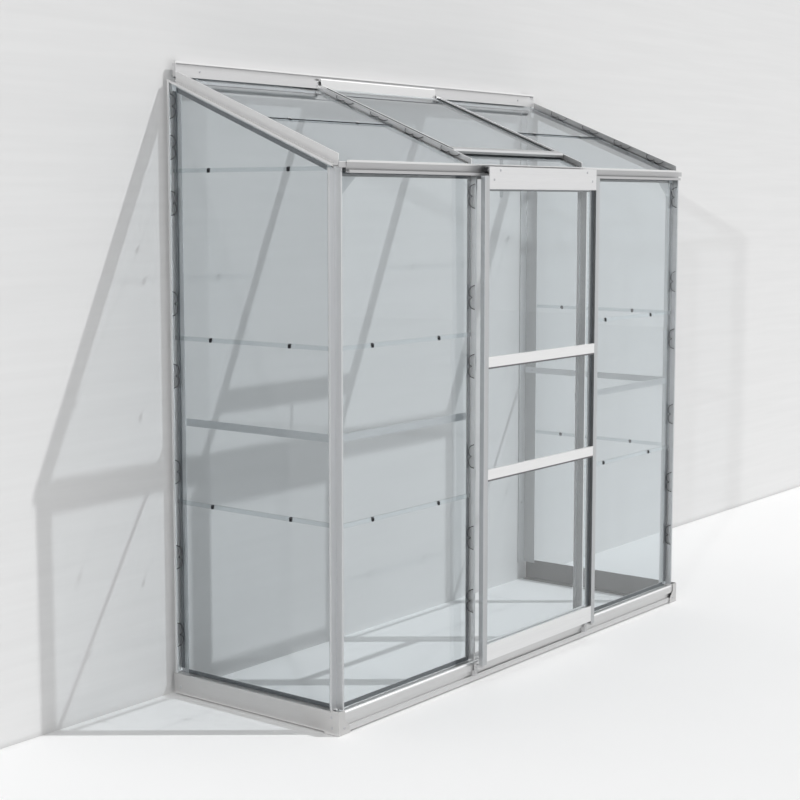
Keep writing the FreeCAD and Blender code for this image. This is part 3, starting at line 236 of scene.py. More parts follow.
class GREENHOUSE_PG_glass(PropertyGroup):
    # The three tints are one glass: the side and roof panes are darker than the front ones as
    # painted shade, standing for the shade on what is seen through them
    side_tint: colour_property(
        "Side panes", "Colour kept through one face of a side pane", (0.785, 0.815, 0.830))
    front_tint: colour_property(
        "Front panes", "Colour kept through one face of a front or door pane",
        (0.870, 0.905, 0.920))
    roof_tint: colour_property(
        "Roof panes", "Colour kept through one face of a roof or vent pane", (0.725, 0.765, 0.790))
    shade: colour_property(
        "Shade", "Light that one face of a pane lets through to what lies behind",
        (0.860, 0.875, 0.882))
    ior: share_property(
        "Refraction", "Index of refraction of the side and front panes", 1.5, low=1.0, high=2.0)
    roof_ior: share_property(
        "Roof refraction", "Index of refraction of the roof panes", 1.15, low=1.0, high=2.0)
    ripple: share_property("Ripple", "Strength of the waves in rolled glass", 0.02)
    roughness: share_property("Roughness", "Haze of the panes", 0.0)


class GREENHOUSE_PG_soft(PropertyGroup):
    rubber_colour: colour_property(
        "Rubber", "Colour of the strips in the sides, front and door", (0.13, 0.14, 0.15))
    roof_rubber_colour: colour_property(
        "Roof rubber", "Colour of the strips and seals in the roof", (0.035, 0.038, 0.04))
    nylon_colour: colour_property("Nylon", "Colour of the rollers", (0.03, 0.03, 0.033))
    guide_colour: colour_property("Guides", "Colour of the door's guides", (0.50, 0.50, 0.505))
    rubber_roughness: share_property("Roughness", "How dull the strips are", 0.6)


class GREENHOUSE_PG_clips(PropertyGroup):
    wire_radius: length_property("Wire radius", "Half the thickness of the wire", 0.0012)
    half_length: length_property("Half length", "Half the length of a clip along its rib", 0.036)
    depth: length_property("Depth", "Reach of a clip from the rib's lip to the glass", 0.0158)
    shoulder: share_property("Shoulder", "Where along a half the wire meets the glass", 0.39)
    rise: share_property("Rise", "How far the middle bend stays down", 0.35)
    steps: IntProperty(
        name="Steps", description="Points along one clip", default=40, min=8, subtype="UNSIGNED")


class GREENHOUSE_PG_screws(PropertyGroup):
    head_radius: length_property("Head radius", "Radius of a screw's head", 0.004)
    head_height: length_property("Head height", "Height of a screw's head", 0.0015)
    slot_width: length_property("Slot width", "Width of the cross in a head", 0.0011)
    slot_depth: length_property("Slot depth", "Depth of the cross in a head", 0.0008)


class GREENHOUSE_PG_stage(PropertyGroup):
    floor_colour: colour_property("Floor", "Colour of the floor", (0.94, 0.94, 0.94))
    wall_colour: colour_property("Wall", "Colour of the wall", (0.765, 0.765, 0.765))
    world_colour: colour_property(
        "Surroundings", "Colour of the light from all around", (1.0, 1.0, 1.0))
    world_strength: share_property(
        "Surroundings' level", "Level of the light from all around", 0.46, high=10.0)
    key_strength: share_property("Key lamp", "Level of the main lamp", 1.65, high=10.0)
    key_direction: vector_property(
        "Key direction", "Way in which the main lamp shines", (-0.42, 0.53, -0.74), "DIRECTION")
    key_spread: angle_property(
        "Key spread", "Softness of the main lamp's shadows", math.radians(0.8))
    fill_strength: share_property("Fill lamp", "Level of the second lamp", 0.75, high=10.0)
    fill_direction: vector_property(
        "Fill direction", "Way in which the second lamp shines", (0.938, 0.319, -0.137),
        "DIRECTION")
    fill_spread: angle_property(
        "Fill spread", "Softness of the second lamp's shadows", math.radians(0.9))
    camera_place: vector_property(
        "Camera", "Place of the camera", (-4.2554, -3.0714, 1.4520), "TRANSLATION")
    camera_turn: angle_property("Turn", "Way the camera looks, from +Y towards +X", 0.911346)
    camera_dip: angle_property("Dip", "How far the camera looks down", 0.107658)
    camera_lens: FloatProperty(
        name="Lens", description="Focal length on a 36 mm frame", default=72.73, min=1.0,
        unit="CAMERA")
    camera_lift: share_property(
        "Lift", "Upward shift of the frame as a share of its width", -0.0275, low=-1.0)


class GREENHOUSE_PG_all(PropertyGroup):
    metal: PointerProperty(type=GREENHOUSE_PG_metal)
    glass: PointerProperty(type=GREENHOUSE_PG_glass)
    soft: PointerProperty(type=GREENHOUSE_PG_soft)
    clips: PointerProperty(type=GREENHOUSE_PG_clips)
    screws: PointerProperty(type=GREENHOUSE_PG_screws)
    stage: PointerProperty(type=GREENHOUSE_PG_stage)


# Node helpers
def add_node(tree, kind, sockets=None, **settings):
    """New node with its settings, and each named input set to a value or linked to an output."""
    made = tree.nodes.new(kind)
    for key, value in settings.items():
        setattr(made, key, value)
    for key, value in (sockets or {}).items():
        if isinstance(value, NodeSocket):
            tree.links.new(value, made.inputs[key])
        else:
            made.inputs[key].default_value = value
    return made


def new_group(name, kind, takes, gives):
    """New node tree with named inputs and outputs, and the outputs of its input node."""
    group = bpy.data.node_groups.new(name, kind)
    for way, sockets in (("INPUT", takes), ("OUTPUT", gives)):
        for label, socket in sockets.items():
            group.interface.new_socket(name=label, in_out=way, socket_type="NodeSocket" + socket)
    return group, group.nodes.new("NodeGroupInput").outputs


def new_material(name):
    """New material, its empty tree and its Object coordinates."""
    material = bpy.data.materials.new(name)
    material.use_nodes = True
    tree = material.node_tree
    tree.nodes.clear()
    return material, tree, add_node(tree, "ShaderNodeTexCoord").outputs["Object"]


def rgba(colour):
    return (*colour, 1.0)


def maths(tree, operation, *values):
    """Result of a Math node."""
    return add_node(tree, "ShaderNodeMath", dict(enumerate(values)), operation=operation).outputs[0]


def split(tree, vector):
    """X, Y and Z of a vector."""
    return add_node(tree, "ShaderNodeSeparateXYZ", {"Vector": vector}).outputs


def scaled(tree, vector, scale):
    """Vector or colour made larger or smaller."""
    sockets = {0: vector, "Scale": scale}
    return add_node(tree, "ShaderNodeVectorMath", sockets, operation="SCALE").outputs["Vector"]


def mapped(tree, vector, **more):
    """Coordinates turned or scaled by a Mapping node."""
    return add_node(tree, "ShaderNodeMapping", {"Vector": vector, **more}).outputs["Vector"]


def noise(tree, vector, scale, detail, roughness=0.5):
    return add_node(tree, "ShaderNodeTexNoise", {
        "Vector": vector, "Scale": scale, "Detail": detail, "Roughness": roughness}).outputs["Fac"]


def between(tree, value, low, high, result_low=0.0, result_high=1.0):
    """Value carried from one range to another and held inside it."""
    return add_node(tree, "ShaderNodeMapRange", {
        "Value": value, "From Min": low, "From Max": high,
        "To Min": result_low, "To Max": result_high}).outputs["Result"]


def wandering(tree, share, colour, darker, lighter):
    """Colour that goes from a darker to a lighter one as the share grows."""
    ramp = add_node(tree, "ShaderNodeValToRGB", {"Fac": share})
    for stop, position, level in zip(ramp.color_ramp.elements, RAMP_STOPS, (darker, lighter)):
        stop.position = position
        stop.color = rgba([min(1.0, c * level) for c in colour])
    return ramp.outputs["Color"]


def relief(tree, height, strength, distance):
    """Normals of a surface with a height of its own."""
    sockets = {"Height": height, "Strength": strength, "Distance": distance}
    return add_node(tree, "ShaderNodeBump", sockets).outputs["Normal"]


def blended(tree, share, first, second, kind="FLOAT"):
    """Number or colour that goes from the first to the second as the share grows."""
    start, end, result = {"FLOAT": (2, 3, 0), "RGBA": (6, 7, 2)}[kind]
    sockets = {0: share, start: first, end: second}
    return add_node(tree, "ShaderNodeMix", sockets, data_type=kind).outputs[result]


def mixed(tree, share, first, second):
    """Shader that goes from the first node's to the second node's as the share grows."""
    sockets = {"Fac": share, 1: first.outputs[0], 2: second.outputs[0]}
    return add_node(tree, "ShaderNodeMixShader", sockets)


def show(tree, shader, kind="Material"):
    """Ends a material's or a world's tree with the node of its shader."""
    add_node(tree, "ShaderNodeOutput" + kind, {"Surface": shader.outputs[0]})


# Effects that materials share, each a shader group
def drawn_metal(tree, given):
    """Fine lines along a section, and slow changes of tone."""
    lines = noise(tree, given["Vector"], *LINE_NOISE)
    cloud = noise(tree, given["Vector"], *CLOUD_NOISE)
    tone = maths(tree, "MULTIPLY", between(tree, lines, *LINE_TONES),
                 between(tree, cloud, *CLOUD_TONES))
    level = blended(tree, given["Strength"], 1.0, tone)
    return {"Colour": scaled(tree, given["Colour"], level),
            "Roughness": maths(tree, "DIVIDE", given["Roughness"], level), "Height": lines}


def painted_inner_shade(tree, given):
    """Painted shade: brightness of a face, less than one where it looks from a side towards the
    middle.
    """
    normal = add_node(tree, "ShaderNodeNewGeometry").outputs["True Normal"]
    side = maths(tree, "MULTIPLY", split(tree, given["Vector"])["X"], split(tree, normal)["X"])
    shade = maths(tree, "MULTIPLY", maths(tree, "LESS_THAN", side, INWARD), given["Shade"])
    return {"Value": maths(tree, "SUBTRACT", 1.0, shade)}


def painted_light_above_edge(tree, given):
    """Second colour on the faces above an edge, and by a share on those that look up: painted
    light, as a highlight along a lip and on upward faces, or the lit level above a painted shadow.
    """
    normal = add_node(tree, "ShaderNodeNewGeometry").outputs["True Normal"]
    level = between(tree, split(tree, normal)["Z"], *UPWARD)
    above = maths(tree, "GREATER_THAN", split(tree, given["Vector"])["Z"], given["Edge"])
    share = blended(tree, level, above, given["Upward"])
    return {"Colour": blended(tree, share, given["Colour"], given["Top"], "RGBA")}


EFFECTS = {
    "Drawn metal": (
        drawn_metal,
        {"Vector": "Vector", "Colour": "Color", "Roughness": "Float", "Strength": "Float"},
        {"Colour": "Color", "Roughness": "Float", "Height": "Float"}),
    "Painted inner shade": (painted_inner_shade, {"Vector": "Vector", "Shade": "Float"}, {"Value": "Float"}),
    "Painted light above an edge and on upward faces": (
        painted_light_above_edge,
        {"Colour": "Color", "Top": "Color", "Vector": "Vector", "Edge": "Float", "Upward": "Float"},
        {"Colour": "Color"}),
}


def effect(tree, name, sockets):
    """Outputs of an effect placed in a tree; its group is built when it is first used."""
    build, takes, gives = EFFECTS[name]
    group = bpy.data.node_groups.get(name)
    if group is None:
        group, given = new_group(name, "ShaderNodeTree", takes, gives)
        add_node(group, "NodeGroupOutput", build(group, given))
    return add_node(tree, "ShaderNodeGroup", sockets, node_tree=group).outputs


# Materials
def metal(name, colour, way, settings, roughness=None, stretch=LINE_STRETCH, inner=0.0, top=None,
          edge=frame_top, upward=0.0):
    """Drawn metal with its grain along one way, with painted shade by a share on its inner faces.

    It takes the top colour above the edge, and by the upward share on the faces that look up:
    painted light, as a highlight along a lip and on upward faces, or as the lit level over a
    painted shadow.
    """
    material, tree, place = new_material(name)
    scale = [1.0 / settings.grain_width] * 3
    scale[GRAIN_AXIS[way]] *= stretch
    level = mapped(tree, place, Rotation=(-ROOF_PITCH if way == UP_SLOPE else 0.0, 0.0, 0.0))
    along = mapped(tree, level, Scale=scale)
    plain = rgba(colour)
    # Painted light: a highlight above the edge and on upward faces, or the lit level over a painted
    # shadow below the edge
    if top is not None:
        plain = effect(tree, "Painted light above an edge and on upward faces", {
            "Colour": plain, "Top": rgba(top), "Vector": place, "Edge": edge,
            "Upward": upward})["Colour"]
    grain = effect(tree, "Drawn metal", {
        "Vector": along, "Colour": plain, "Strength": settings.grain,
        "Roughness": settings.roughness if roughness is None else roughness})
    shown = grain["Colour"]
    # Painted shade on the faces that look inwards
    if inner > 0.0:
        bright = effect(tree, "Painted inner shade", {"Vector": place, "Shade": inner})["Value"]
        shown = scaled(tree, shown, bright)
    show(tree, add_node(tree, "ShaderNodeBsdfPrincipled", {
        "Base Color": shown, "Metallic": 1.0, "Roughness": grain["Roughness"],
        "Normal": relief(tree, grain["Height"], LINE_RELIEF, LINE_DEPTH)}))
    return material


def glass(name, tint, bend, settings):
    """Clear pane: bends and mirrors what is seen, and lets light through to what lies behind."""
    material, tree, place = new_material(name)
    waves = noise(tree, place, *WAVE_NOISE)
    pane = add_node(tree, "ShaderNodeBsdfPrincipled", {
        "Base Color": rgba(tint), "Roughness": settings.roughness, "IOR": bend,
        "Transmission Weight": 1.0, "Normal": relief(tree, waves, settings.ripple, WAVE_DEPTH)})
    clear = add_node(tree, "ShaderNodeBsdfTransparent", {"Color": rgba(settings.shade)})
    path = add_node(tree, "ShaderNodeLightPath").outputs
    light = maths(tree, "MAXIMUM", path["Is Shadow Ray"], path["Is Diffuse Ray"])
    show(tree, mixed(tree, light, pane, clear))
    return material


def dull(name, colour, roughness, speck, height):
    """Rubber or nylon with a fine even speckle."""
    material, tree, place = new_material(name)
    speckle = noise(tree, place, speck, SPECK_DETAIL)
    least, most = roughness - SPECK_HAZE, roughness + SPECK_HAZE
    show(tree, add_node(tree, "ShaderNodeBsdfPrincipled", {
        "Specular IOR Level": SOFT_SHEEN,
        "Base Color": wandering(tree, speckle, colour, SPECK_DARK, SPECK_LIGHT),
        "Roughness": between(tree, speckle, 0.0, 1.0, least, most),
        "Normal": relief(tree, speckle, SPECK_STRENGTH, height)}))
    return material


def stage_material(name, colour, contrast, scale):
    """Painted plaster with faint marks; it can't be seen from behind, nor by what touches it."""
    material, tree, place = new_material(name)
    marks = noise(tree, mapped(tree, place, Scale=scale), *PLASTER_NOISE)
    plaster = add_node(tree, "ShaderNodeBsdfPrincipled", {
        "Base Color": wandering(tree, marks, colour, 1.0 - contrast, 1.0 + contrast),
        "Roughness": PLASTER_ROUGHNESS, "Specular IOR Level": PLASTER_SHEEN})
    hidden = add_node(tree, "ShaderNodeBsdfTransparent")
    path = add_node(tree, "ShaderNodeLightPath").outputs
    leaning = maths(tree, "MULTIPLY", maths(tree, "LESS_THAN", path["Ray Length"], TOUCHING),
                    maths(tree, "LESS_THAN", path["Ray Depth"], FIRST_BOUNCE))
    behind = add_node(tree, "ShaderNodeNewGeometry").outputs["Backfacing"]
    show(tree, mixed(tree, maths(tree, "MAXIMUM", behind, leaning), plaster, hidden))
    return material


def finish_node(name, material):
    """Gives a node of the frame one material all over."""
    slots = nodes[name].data.materials
    slots.clear()
    slots.append(material)


def finish_metal(names, label, colour, settings, **looks):
    """Gives nodes of the frame one metal, with the grain of each along its own way."""
    made = {}
    for name in names:
        way = next(way for way, drawn in GRAIN.items() if name in drawn)
        if way not in made:
            made[way] = metal(f"{label} {way}", colour, way, settings, **looks)
        finish_node(name, made[way])


# Mesh helpers
def new_object(name, data):
    """Object of the scene at the origin, from its mesh, lamp or camera."""
    made = bpy.data.objects.new(name, data)
    bpy.context.scene.collection.objects.link(made)
    return made


def islands(name):
    """Corner points of each separate solid in a node."""
    copy = bmesh.new()
    copy.from_mesh(nodes[name].data)
    bmesh.ops.remove_doubles(copy, verts=copy.verts, dist=WELD)
    copy.verts.ensure_lookup_table()
    seen = set()
    found = []
    for start in copy.verts:
        if start.index in seen:
            continue
        queue = [start]
        seen.add(start.index)
        points = []
        while queue:
            vert = queue.pop()
            points.append(vert.co.copy())
            for edge in vert.link_edges:
                other = edge.other_vert(vert)
                if other.index not in seen:
                    seen.add(other.index)
                    queue.append(other)
        found.append(points)
    copy.free()
    return found


def mean(points):
    return sum(points, Vector()) / len(points)


def marked_points(name, rows):
    """Mesh of bare points, each with the vectors and numbers that place an instance."""
    mesh = bpy.data.meshes.new(name)
    mesh.from_pydata([row["place"] for row in rows], [], [])
    for key, value in rows[0].items():
        if isinstance(value, float):
            marks = mesh.attributes.new(key, "FLOAT", "POINT")
            marks.data.foreach_set("value", [row[key] for row in rows])
        elif key != "place":
            marks = mesh.attributes.new(key, "FLOAT_VECTOR", "POINT")
            marks.data.foreach_set("vector", [c for row in rows for c in row[key]])
    return new_object(name, mesh)


def grown(name, rows, tree, inputs):
    """Plain mesh object from a Geometry Nodes tree that is run on marked points."""
    holder = marked_points(name + " places", rows)
    modifier = holder.modifiers.new(tree.name, "NODES")
    modifier.node_group = tree
    for item in tree.interface.items_tree:
        if item.in_out == "INPUT" and item.name in inputs:
            modifier[item.identifier] = inputs[item.name]
    holder.update_tag()
    bpy.context.view_layer.update()
    graph = bpy.context.evaluated_depsgraph_get()
    mesh = bpy.data.meshes.new_from_object(holder.evaluated_get(graph))
    mesh.name = name
    bpy.data.objects.remove(holder)
    for key in [a.name for a in mesh.attributes if a.name in rows[0]]:
        mesh.attributes.remove(mesh.attributes[key])
    return new_object(name, mesh)


# Geometry Nodes
def attribute(tree, name, kind):
    """Vector or number that each marked point carries."""
    made = add_node(tree, "GeometryNodeInputNamedAttribute", {"Name": name}, data_type=kind)
    return made.outputs["Attribute"]


def place_instances(tree, given, shape, first, second, scale=(1.0, 1.0, 1.0)):
    """Ends a tree: the shape on each point, made real and smooth, with its material.

    Its X and Y are turned to follow two of the point's vectors.
    """
    turn = (0.0, 0.0, 0.0)
    for axis, pivot, key in (("X", "AUTO", first), ("Y", "X", second)):
        sockets = {"Vector": attribute(tree, key, "FLOAT_VECTOR"), "Rotation": turn}
        turn = add_node(tree, "FunctionNodeAlignRotationToVector", sockets, axis=axis,
                        pivot_axis=pivot).outputs["Rotation"]
    geometry = add_node(tree, "GeometryNodeInstanceOnPoints", {
        "Points": given["Points"], "Instance": shape, "Rotation": turn,
        "Scale": scale}).outputs["Instances"]
    for kind, more in (("RealizeInstances", {}), ("SetShadeSmooth", {}),
                       ("SetMaterial", {"Material": given["Material"]})):
        sockets = {"Geometry": geometry, **more}
        geometry = add_node(tree, "GeometryNode" + kind, sockets).outputs["Geometry"]
    add_node(tree, "NodeGroupOutput", {"Geometry": geometry})


def wire_clip_tree(settings):
    """Wire bent into a W, one on each point, as deep as the point's reach says."""
    tree, given = new_group("Wire clips", "GeometryNodeTree", {
        "Points": "Geometry", "Half length": "Float", "Depth": "Float", "Wire radius": "Float",
        "Steps": "Int", "Material": "Material"}, {"Geometry": "Geometry"})
    line = add_node(tree, "GeometryNodeCurvePrimitiveLine", {
        "Start": (-1.0, 0.0, 0.0), "End": (1.0, 0.0, 0.0)})
    dense = add_node(tree, "GeometryNodeResampleCurve", {
        "Curve": line.outputs["Curve"], "Count": given["Steps"]})
    along = split(tree, add_node(tree, "GeometryNodeInputPosition").outputs["Position"])["X"]
    bend = add_node(tree, "ShaderNodeFloatCurve", {"Value": maths(tree, "ABSOLUTE", along)})
    curve = bend.mapping.curves[0]
    curve.points[0].location = (0.0, settings.rise)
    curve.points[1].location = (1.0, 0.0)
    curve.points.new(settings.shoulder, 1.0)
    bend.mapping.update()
    bent = add_node(tree, "ShaderNodeCombineXYZ", {
        "X": maths(tree, "MULTIPLY", along, given["Half length"]),
        "Y": maths(tree, "MULTIPLY", bend.outputs["Value"], given["Depth"])})
    shape = add_node(tree, "GeometryNodeSetPosition", {
        "Geometry": dense.outputs["Curve"], "Position": bent.outputs["Vector"]})
    ring = add_node(tree, "GeometryNodeCurvePrimitiveCircle", {
        "Resolution": WIRE_SIDES, "Radius": given["Wire radius"]})
    wire = add_node(tree, "GeometryNodeCurveToMesh", {
        "Curve": shape.outputs["Geometry"], "Profile Curve": ring.outputs["Curve"],
        "Fill Caps": True})
    size = add_node(tree, "ShaderNodeCombineXYZ", {
        "X": 1.0, "Y": attribute(tree, "reach", "FLOAT"), "Z": 1.0})
    place_instances(tree, given, wire.outputs["Mesh"], "along", "slant", size.outputs["Vector"])
    return tree


def screw_tree():
    """One screw head on each point."""
    tree, given = new_group("Screw heads", "GeometryNodeTree", {
        "Points": "Geometry", "Head": "Object", "Material": "Material"}, {"Geometry": "Geometry"})
    head = add_node(tree, "GeometryNodeObjectInfo", {"Object": given["Head"]})
    place_instances(tree, given, head.outputs["Geometry"], "axis", "slant")
    return tree


def screw_head(settings):
    """Domed head with a cross sunk in it; +X points out of the head."""
    radius = settings.head_radius
    height = settings.head_height
    half = settings.slot_width / 2.0 / radius
    sunk = settings.slot_depth / height
    made = bmesh.new()
    loops = []
    for share, lift in HEAD_OUTLINE:
        ring = []
        for i in range(HEAD_SIDES):
            angle = 2.0 * math.pi * i / HEAD_SIDES
            y = share * math.cos(angle)
            z = share * math.sin(angle)
            in_cross = min(abs(y), abs(z)) < half and share < CROSS_REACH
            level = lift - (sunk if in_cross else 0.0)
            ring.append(made.verts.new((level * height, y * radius, z * radius)))
        loops.append(ring)
    middle = made.verts.new(((1.0 - sunk) * height, 0.0, 0.0))
    for i in range(HEAD_SIDES):
        made.faces.new((middle, loops[0][i], loops[0][(i + 1) % HEAD_SIDES]))
    for inner, outer in zip(loops, loops[1:]):
        for i in range(HEAD_SIDES):
            j = (i + 1) % HEAD_SIDES
            made.faces.new((inner[i], outer[i], outer[j], inner[j]))
    made.faces.new(loops[-1][::-1])
    bmesh.ops.recalc_face_normals(made, faces=made.faces)
    mesh = bpy.data.meshes.new("screw head")
    made.to_mesh(mesh)
    made.free()
    return new_object("screw head", mesh)


def clip_rows(settings):
    """Where each wire clip sits: its middle, its way along the rib and towards the glass."""
    rows = []
    up_slope = Vector((0.0, math.cos(ROOF_PITCH), math.sin(ROOF_PITCH)))
    for points in islands("glazing_clips"):
        depth = max(p.y for p in points) - min(p.y for p in points)
        along = Vector((0.0, 0.0, 1.0)) if depth < UPRIGHT_DEPTH else up_slope
        runs = [p.dot(along) for p in points]
        middle = (min(runs) + max(runs)) / 2.0
        half = (max(runs) - min(runs)) / 2.0
        away = [abs(run - middle) for run in runs]
        ends = mean([p for p, run in zip(points, away) if run > half * END_SHARE])
        shoulders = mean([p for p, run in zip(points, away)
                          if abs(run - half * settings.shoulder) < SHOULDER_REACH])
        slant = shoulders - ends
        slant -= along * slant.dot(along)
        ends += along * (middle - ends.dot(along))
        rows.append({"place": ends, "along": along, "slant": slant.normalized(),
                     "reach": slant.length / settings.depth})
    return rows


def screw_rows(name):
    """Where each screw of a node sits: the seat of its head and the way it points out."""
    rows = []
    for points in islands(name):
        low = [min(p[i] for p in points) for i in range(3)]
        high = [max(p[i] for p in points) for i in range(3)]
        way = min(range(3), key=lambda i: high[i] - low[i])
        across, up = [i for i in range(3) if i != way]
        seat = Vector([(a + b) / 2.0 for a, b in zip(low, high)])
        head = [p[way] for p in points
                if math.hypot(p[across] - seat[across], p[up] - seat[up]) > SHANK_RADIUS]
        outward = abs(max(head) - high[way]) < FLUSH
        seat[way] = min(head) if outward else max(head)
        axis = Vector()
        axis[way] = 1.0 if outward else -1.0
        slant = Vector()
        slant[up] = 1.0
        rows.append({"place": seat, "axis": axis, "slant": slant})
    return rows


# Operators
def settings_of(context):
    return context.scene.greenhouse


class GREENHOUSE_OT_frame(Operator):
    """Gives the frame's sections their drawn aluminium"""

    bl_idname = "greenhouse.frame"
    bl_label = "Finish frame"

    def execute(self, context):
        settings = settings_of(context).metal
        others = ["vent_sill", "vent_stay", *pair("front_brace"), *pair("side_brace"),
                  *pair("gusset"), *pair("corner_post")]
        # Sills, uprights, front bars and roof bars get painted shade on their inward faces
        for names, label, colour, shade in (
                ([*pair("side_sill"), *pair("corner_plate")], "Sill metal",
                 settings.sill_colour, settings.sill_painted_shade),
                (pair("wall_upright"), "Upright metal",
                 settings.upright_colour, settings.upright_painted_shade),
                (pair("front_bar"), "Bar metal", settings.bar_colour, settings.bar_painted_shade),
                (["front_sill"], "Front sill metal", settings.front_colour, 0.0),
                ([*pair("roof_bar"), *pair("roof_end_bar")], "Roof metal",
                 settings.roof_colour, settings.roof_painted_shade),
                (others, "Frame metal", settings.frame_colour, 0.0)):
            finish_metal(names, label, colour, settings, inner=shade)
        # Painted highlight along the upper lip of ridge and eave
        for names, label, colour in (
                (["ridge_rail"], "Ridge metal", settings.ridge_colour),
                (["eave_rail", *pair("eave_end_cap")], "Eave metal", settings.eave_colour)):
            finish_metal(names, label, colour, settings, top=settings.painted_highlight_colour,
                         edge=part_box(names[0])[1][2] - settings.painted_highlight_height)
        return {"FINISHED"}


class GREENHOUSE_OT_door(Operator):
    """Gives the door's header and rails a lit level of aluminium with a painted shadow along their
    foot, and its stiles a shaded level, as painted light and shade
    """

    bl_idname = "greenhouse.door"
    bl_label = "Finish door"

    def execute(self, context):
        settings = settings_of(context).metal
        polished = settings.roughness - RAIL_POLISH
        # Painted shadow along the foot of the header and rails, under their lit colour; faces that
        # look up keep the lit colour
        for name, label, colour in (
                ("door_header", "Header metal", settings.header_colour),
                ("door_rail_upper", "Upper rail metal", settings.rail_colour),
                ("door_rail_lower", "Lower rail metal", settings.rail_colour)):
            finish_metal([name], label, settings.painted_under_shadow_colour, settings, roughness=polished,
                         top=colour, edge=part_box(name)[0][2] + settings.painted_under_shadow_height, upward=1.0)
        finish_metal(["door_bottom_rail"], "Rail metal", settings.rail_colour, settings,
                     roughness=polished)
        # Painted shade: the stiles take a darker level, and darker still on their inward faces
        finish_metal(pair("door_stile"), "Stile metal", settings.stile_colour, settings,
                     inner=settings.stile_painted_shade)
        return {"FINISHED"}


class GREENHOUSE_OT_vent(Operator):
    """Gives the vent's sections their aluminium"""

    bl_idname = "greenhouse.vent"
    bl_label = "Finish vent"

    def execute(self, context):
        settings = settings_of(context).metal
        # Painted light and shade: the vent's sides take a lighter level and its bottom rail a
        # darker one of the same aluminium
        finish_metal(pair("vent_side"), "Vent metal", settings.vent_colour, settings)
        finish_metal(["vent_bottom_rail"], "Vent rail metal", settings.vent_rail_colour, settings)
        finish_metal(["vent_hinge_bar"], "Hinge metal", settings.roof_colour, settings)
        return {"FINISHED"}


class GREENHOUSE_OT_glass(Operator):
    """Gives the panes their glass"""

    bl_idname = "greenhouse.glass"
    bl_label = "Finish glass"

    def execute(self, context):
        settings = settings_of(context).glass
        # Painted shade: side and roof panes take darker tints than the front ones
        side = glass("Side pane", settings.side_tint, settings.ior, settings)
        front = glass("Front pane", settings.front_tint, settings.ior, settings)
        roof = glass("Roof pane", settings.roof_tint, settings.roof_ior, settings)
        for name in nodes:
            if name.startswith("side_glass"):
                finish_node(name, side)
            elif name.startswith(("roof_glass", "vent_glass")):
                finish_node(name, roof)
            elif "glass" in name:
                finish_node(name, front)
        return {"FINISHED"}


class GREENHOUSE_OT_rubber(Operator):
    """Gives the glazing strips and seals their rubber, and the guides and rollers their nylon"""

    bl_idname = "greenhouse.rubber"
    bl_label = "Finish rubber and nylon"

    def execute(self, context):
        settings = settings_of(context).soft
        rubber = (settings.rubber_roughness, RUBBER_SPECK, RUBBER_RELIEF)
        nylon = (NYLON_ROUGHNESS, NYLON_SPECK, NYLON_RELIEF)
        for names, label, colour, surface in (
                (["glazing_rubber_sides", "glazing_rubber_front", "door_rubber"],
                 "Glazing rubber", settings.rubber_colour, rubber),
                (["glazing_rubber_roof", "vent_seals"],
                 "Roof rubber", settings.roof_rubber_colour, rubber),
                (pair("door_roller"), "Moulded nylon", settings.nylon_colour, nylon),
                (["door_guides"], "Guide nylon", settings.guide_colour, nylon)):
            material = dull(label, colour, *surface)
            for name in names:
                finish_node(name, material)
        return {"FINISHED"}


class GREENHOUSE_OT_clips(Operator):
    """Bends the wire clips and finishes the lap clips"""

    bl_idname = "greenhouse.clips"
    bl_label = "Make clips"

    def execute(self, context):
        settings = settings_of(context).clips
        metals = settings_of(context).metal
        # Lap clips: dark as painted shade, with a painted highlight on their upward faces
        finish_node("lap_clips", metal("Lap clip steel", metals.lap_clip_shade_colour, ALONG_Z, metals,
                                       LAP_CLIP_ROUGHNESS, top=metals.painted_highlight_colour, upward=1.0))
        made = grown("wire_clips", clip_rows(settings), wire_clip_tree(settings), {
            "Half length": settings.half_length, "Depth": settings.depth,
            "Wire radius": settings.wire_radius, "Steps": settings.steps,
            "Material": metal("Clip wire", metals.wire_colour, ALONG_Z, metals, WIRE_ROUGHNESS)})
        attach(made, "frame")
        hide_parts("glazing_clips")
        return {"FINISHED"}


class GREENHOUSE_OT_screws(Operator):
    """Makes the screw heads of the frame and the door"""

    bl_idname = "greenhouse.screws"
    bl_label = "Make screws"

    def execute(self, context):
        metals = settings_of(context).metal
        steel = metal("Screw steel", metals.screw_colour, ALONG_X, metals, SCREW_ROUGHNESS,
                      stretch=1.0)
        head = screw_head(settings_of(context).screws)
        tree = screw_tree()
        for node_name, piece_name, body in (
                ("frame_screws", "screw_heads_frame", "frame"),
                ("door_header_screws", "screw_heads_door", "door")):
            made = grown(piece_name, screw_rows(node_name), tree, {"Head": head, "Material": steel})
            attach(made, body)
            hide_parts(node_name)
        bpy.data.objects.remove(head)
        return {"FINISHED"}


# Stage
def plane(name, corners, material):
    mesh = bpy.data.meshes.new(name)
    mesh.from_pydata(corners, [], [(0, 1, 2, 3)])
    mesh.materials.append(material)
    new_object(name, mesh)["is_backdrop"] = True


def sun(name, strength, direction, spread):
    lamp = bpy.data.lights.new(name, "SUN")
    lamp.energy = strength
    lamp.angle = spread
    new_object(name, lamp).rotation_euler = Vector(direction).to_track_quat("-Z", "Y").to_euler()


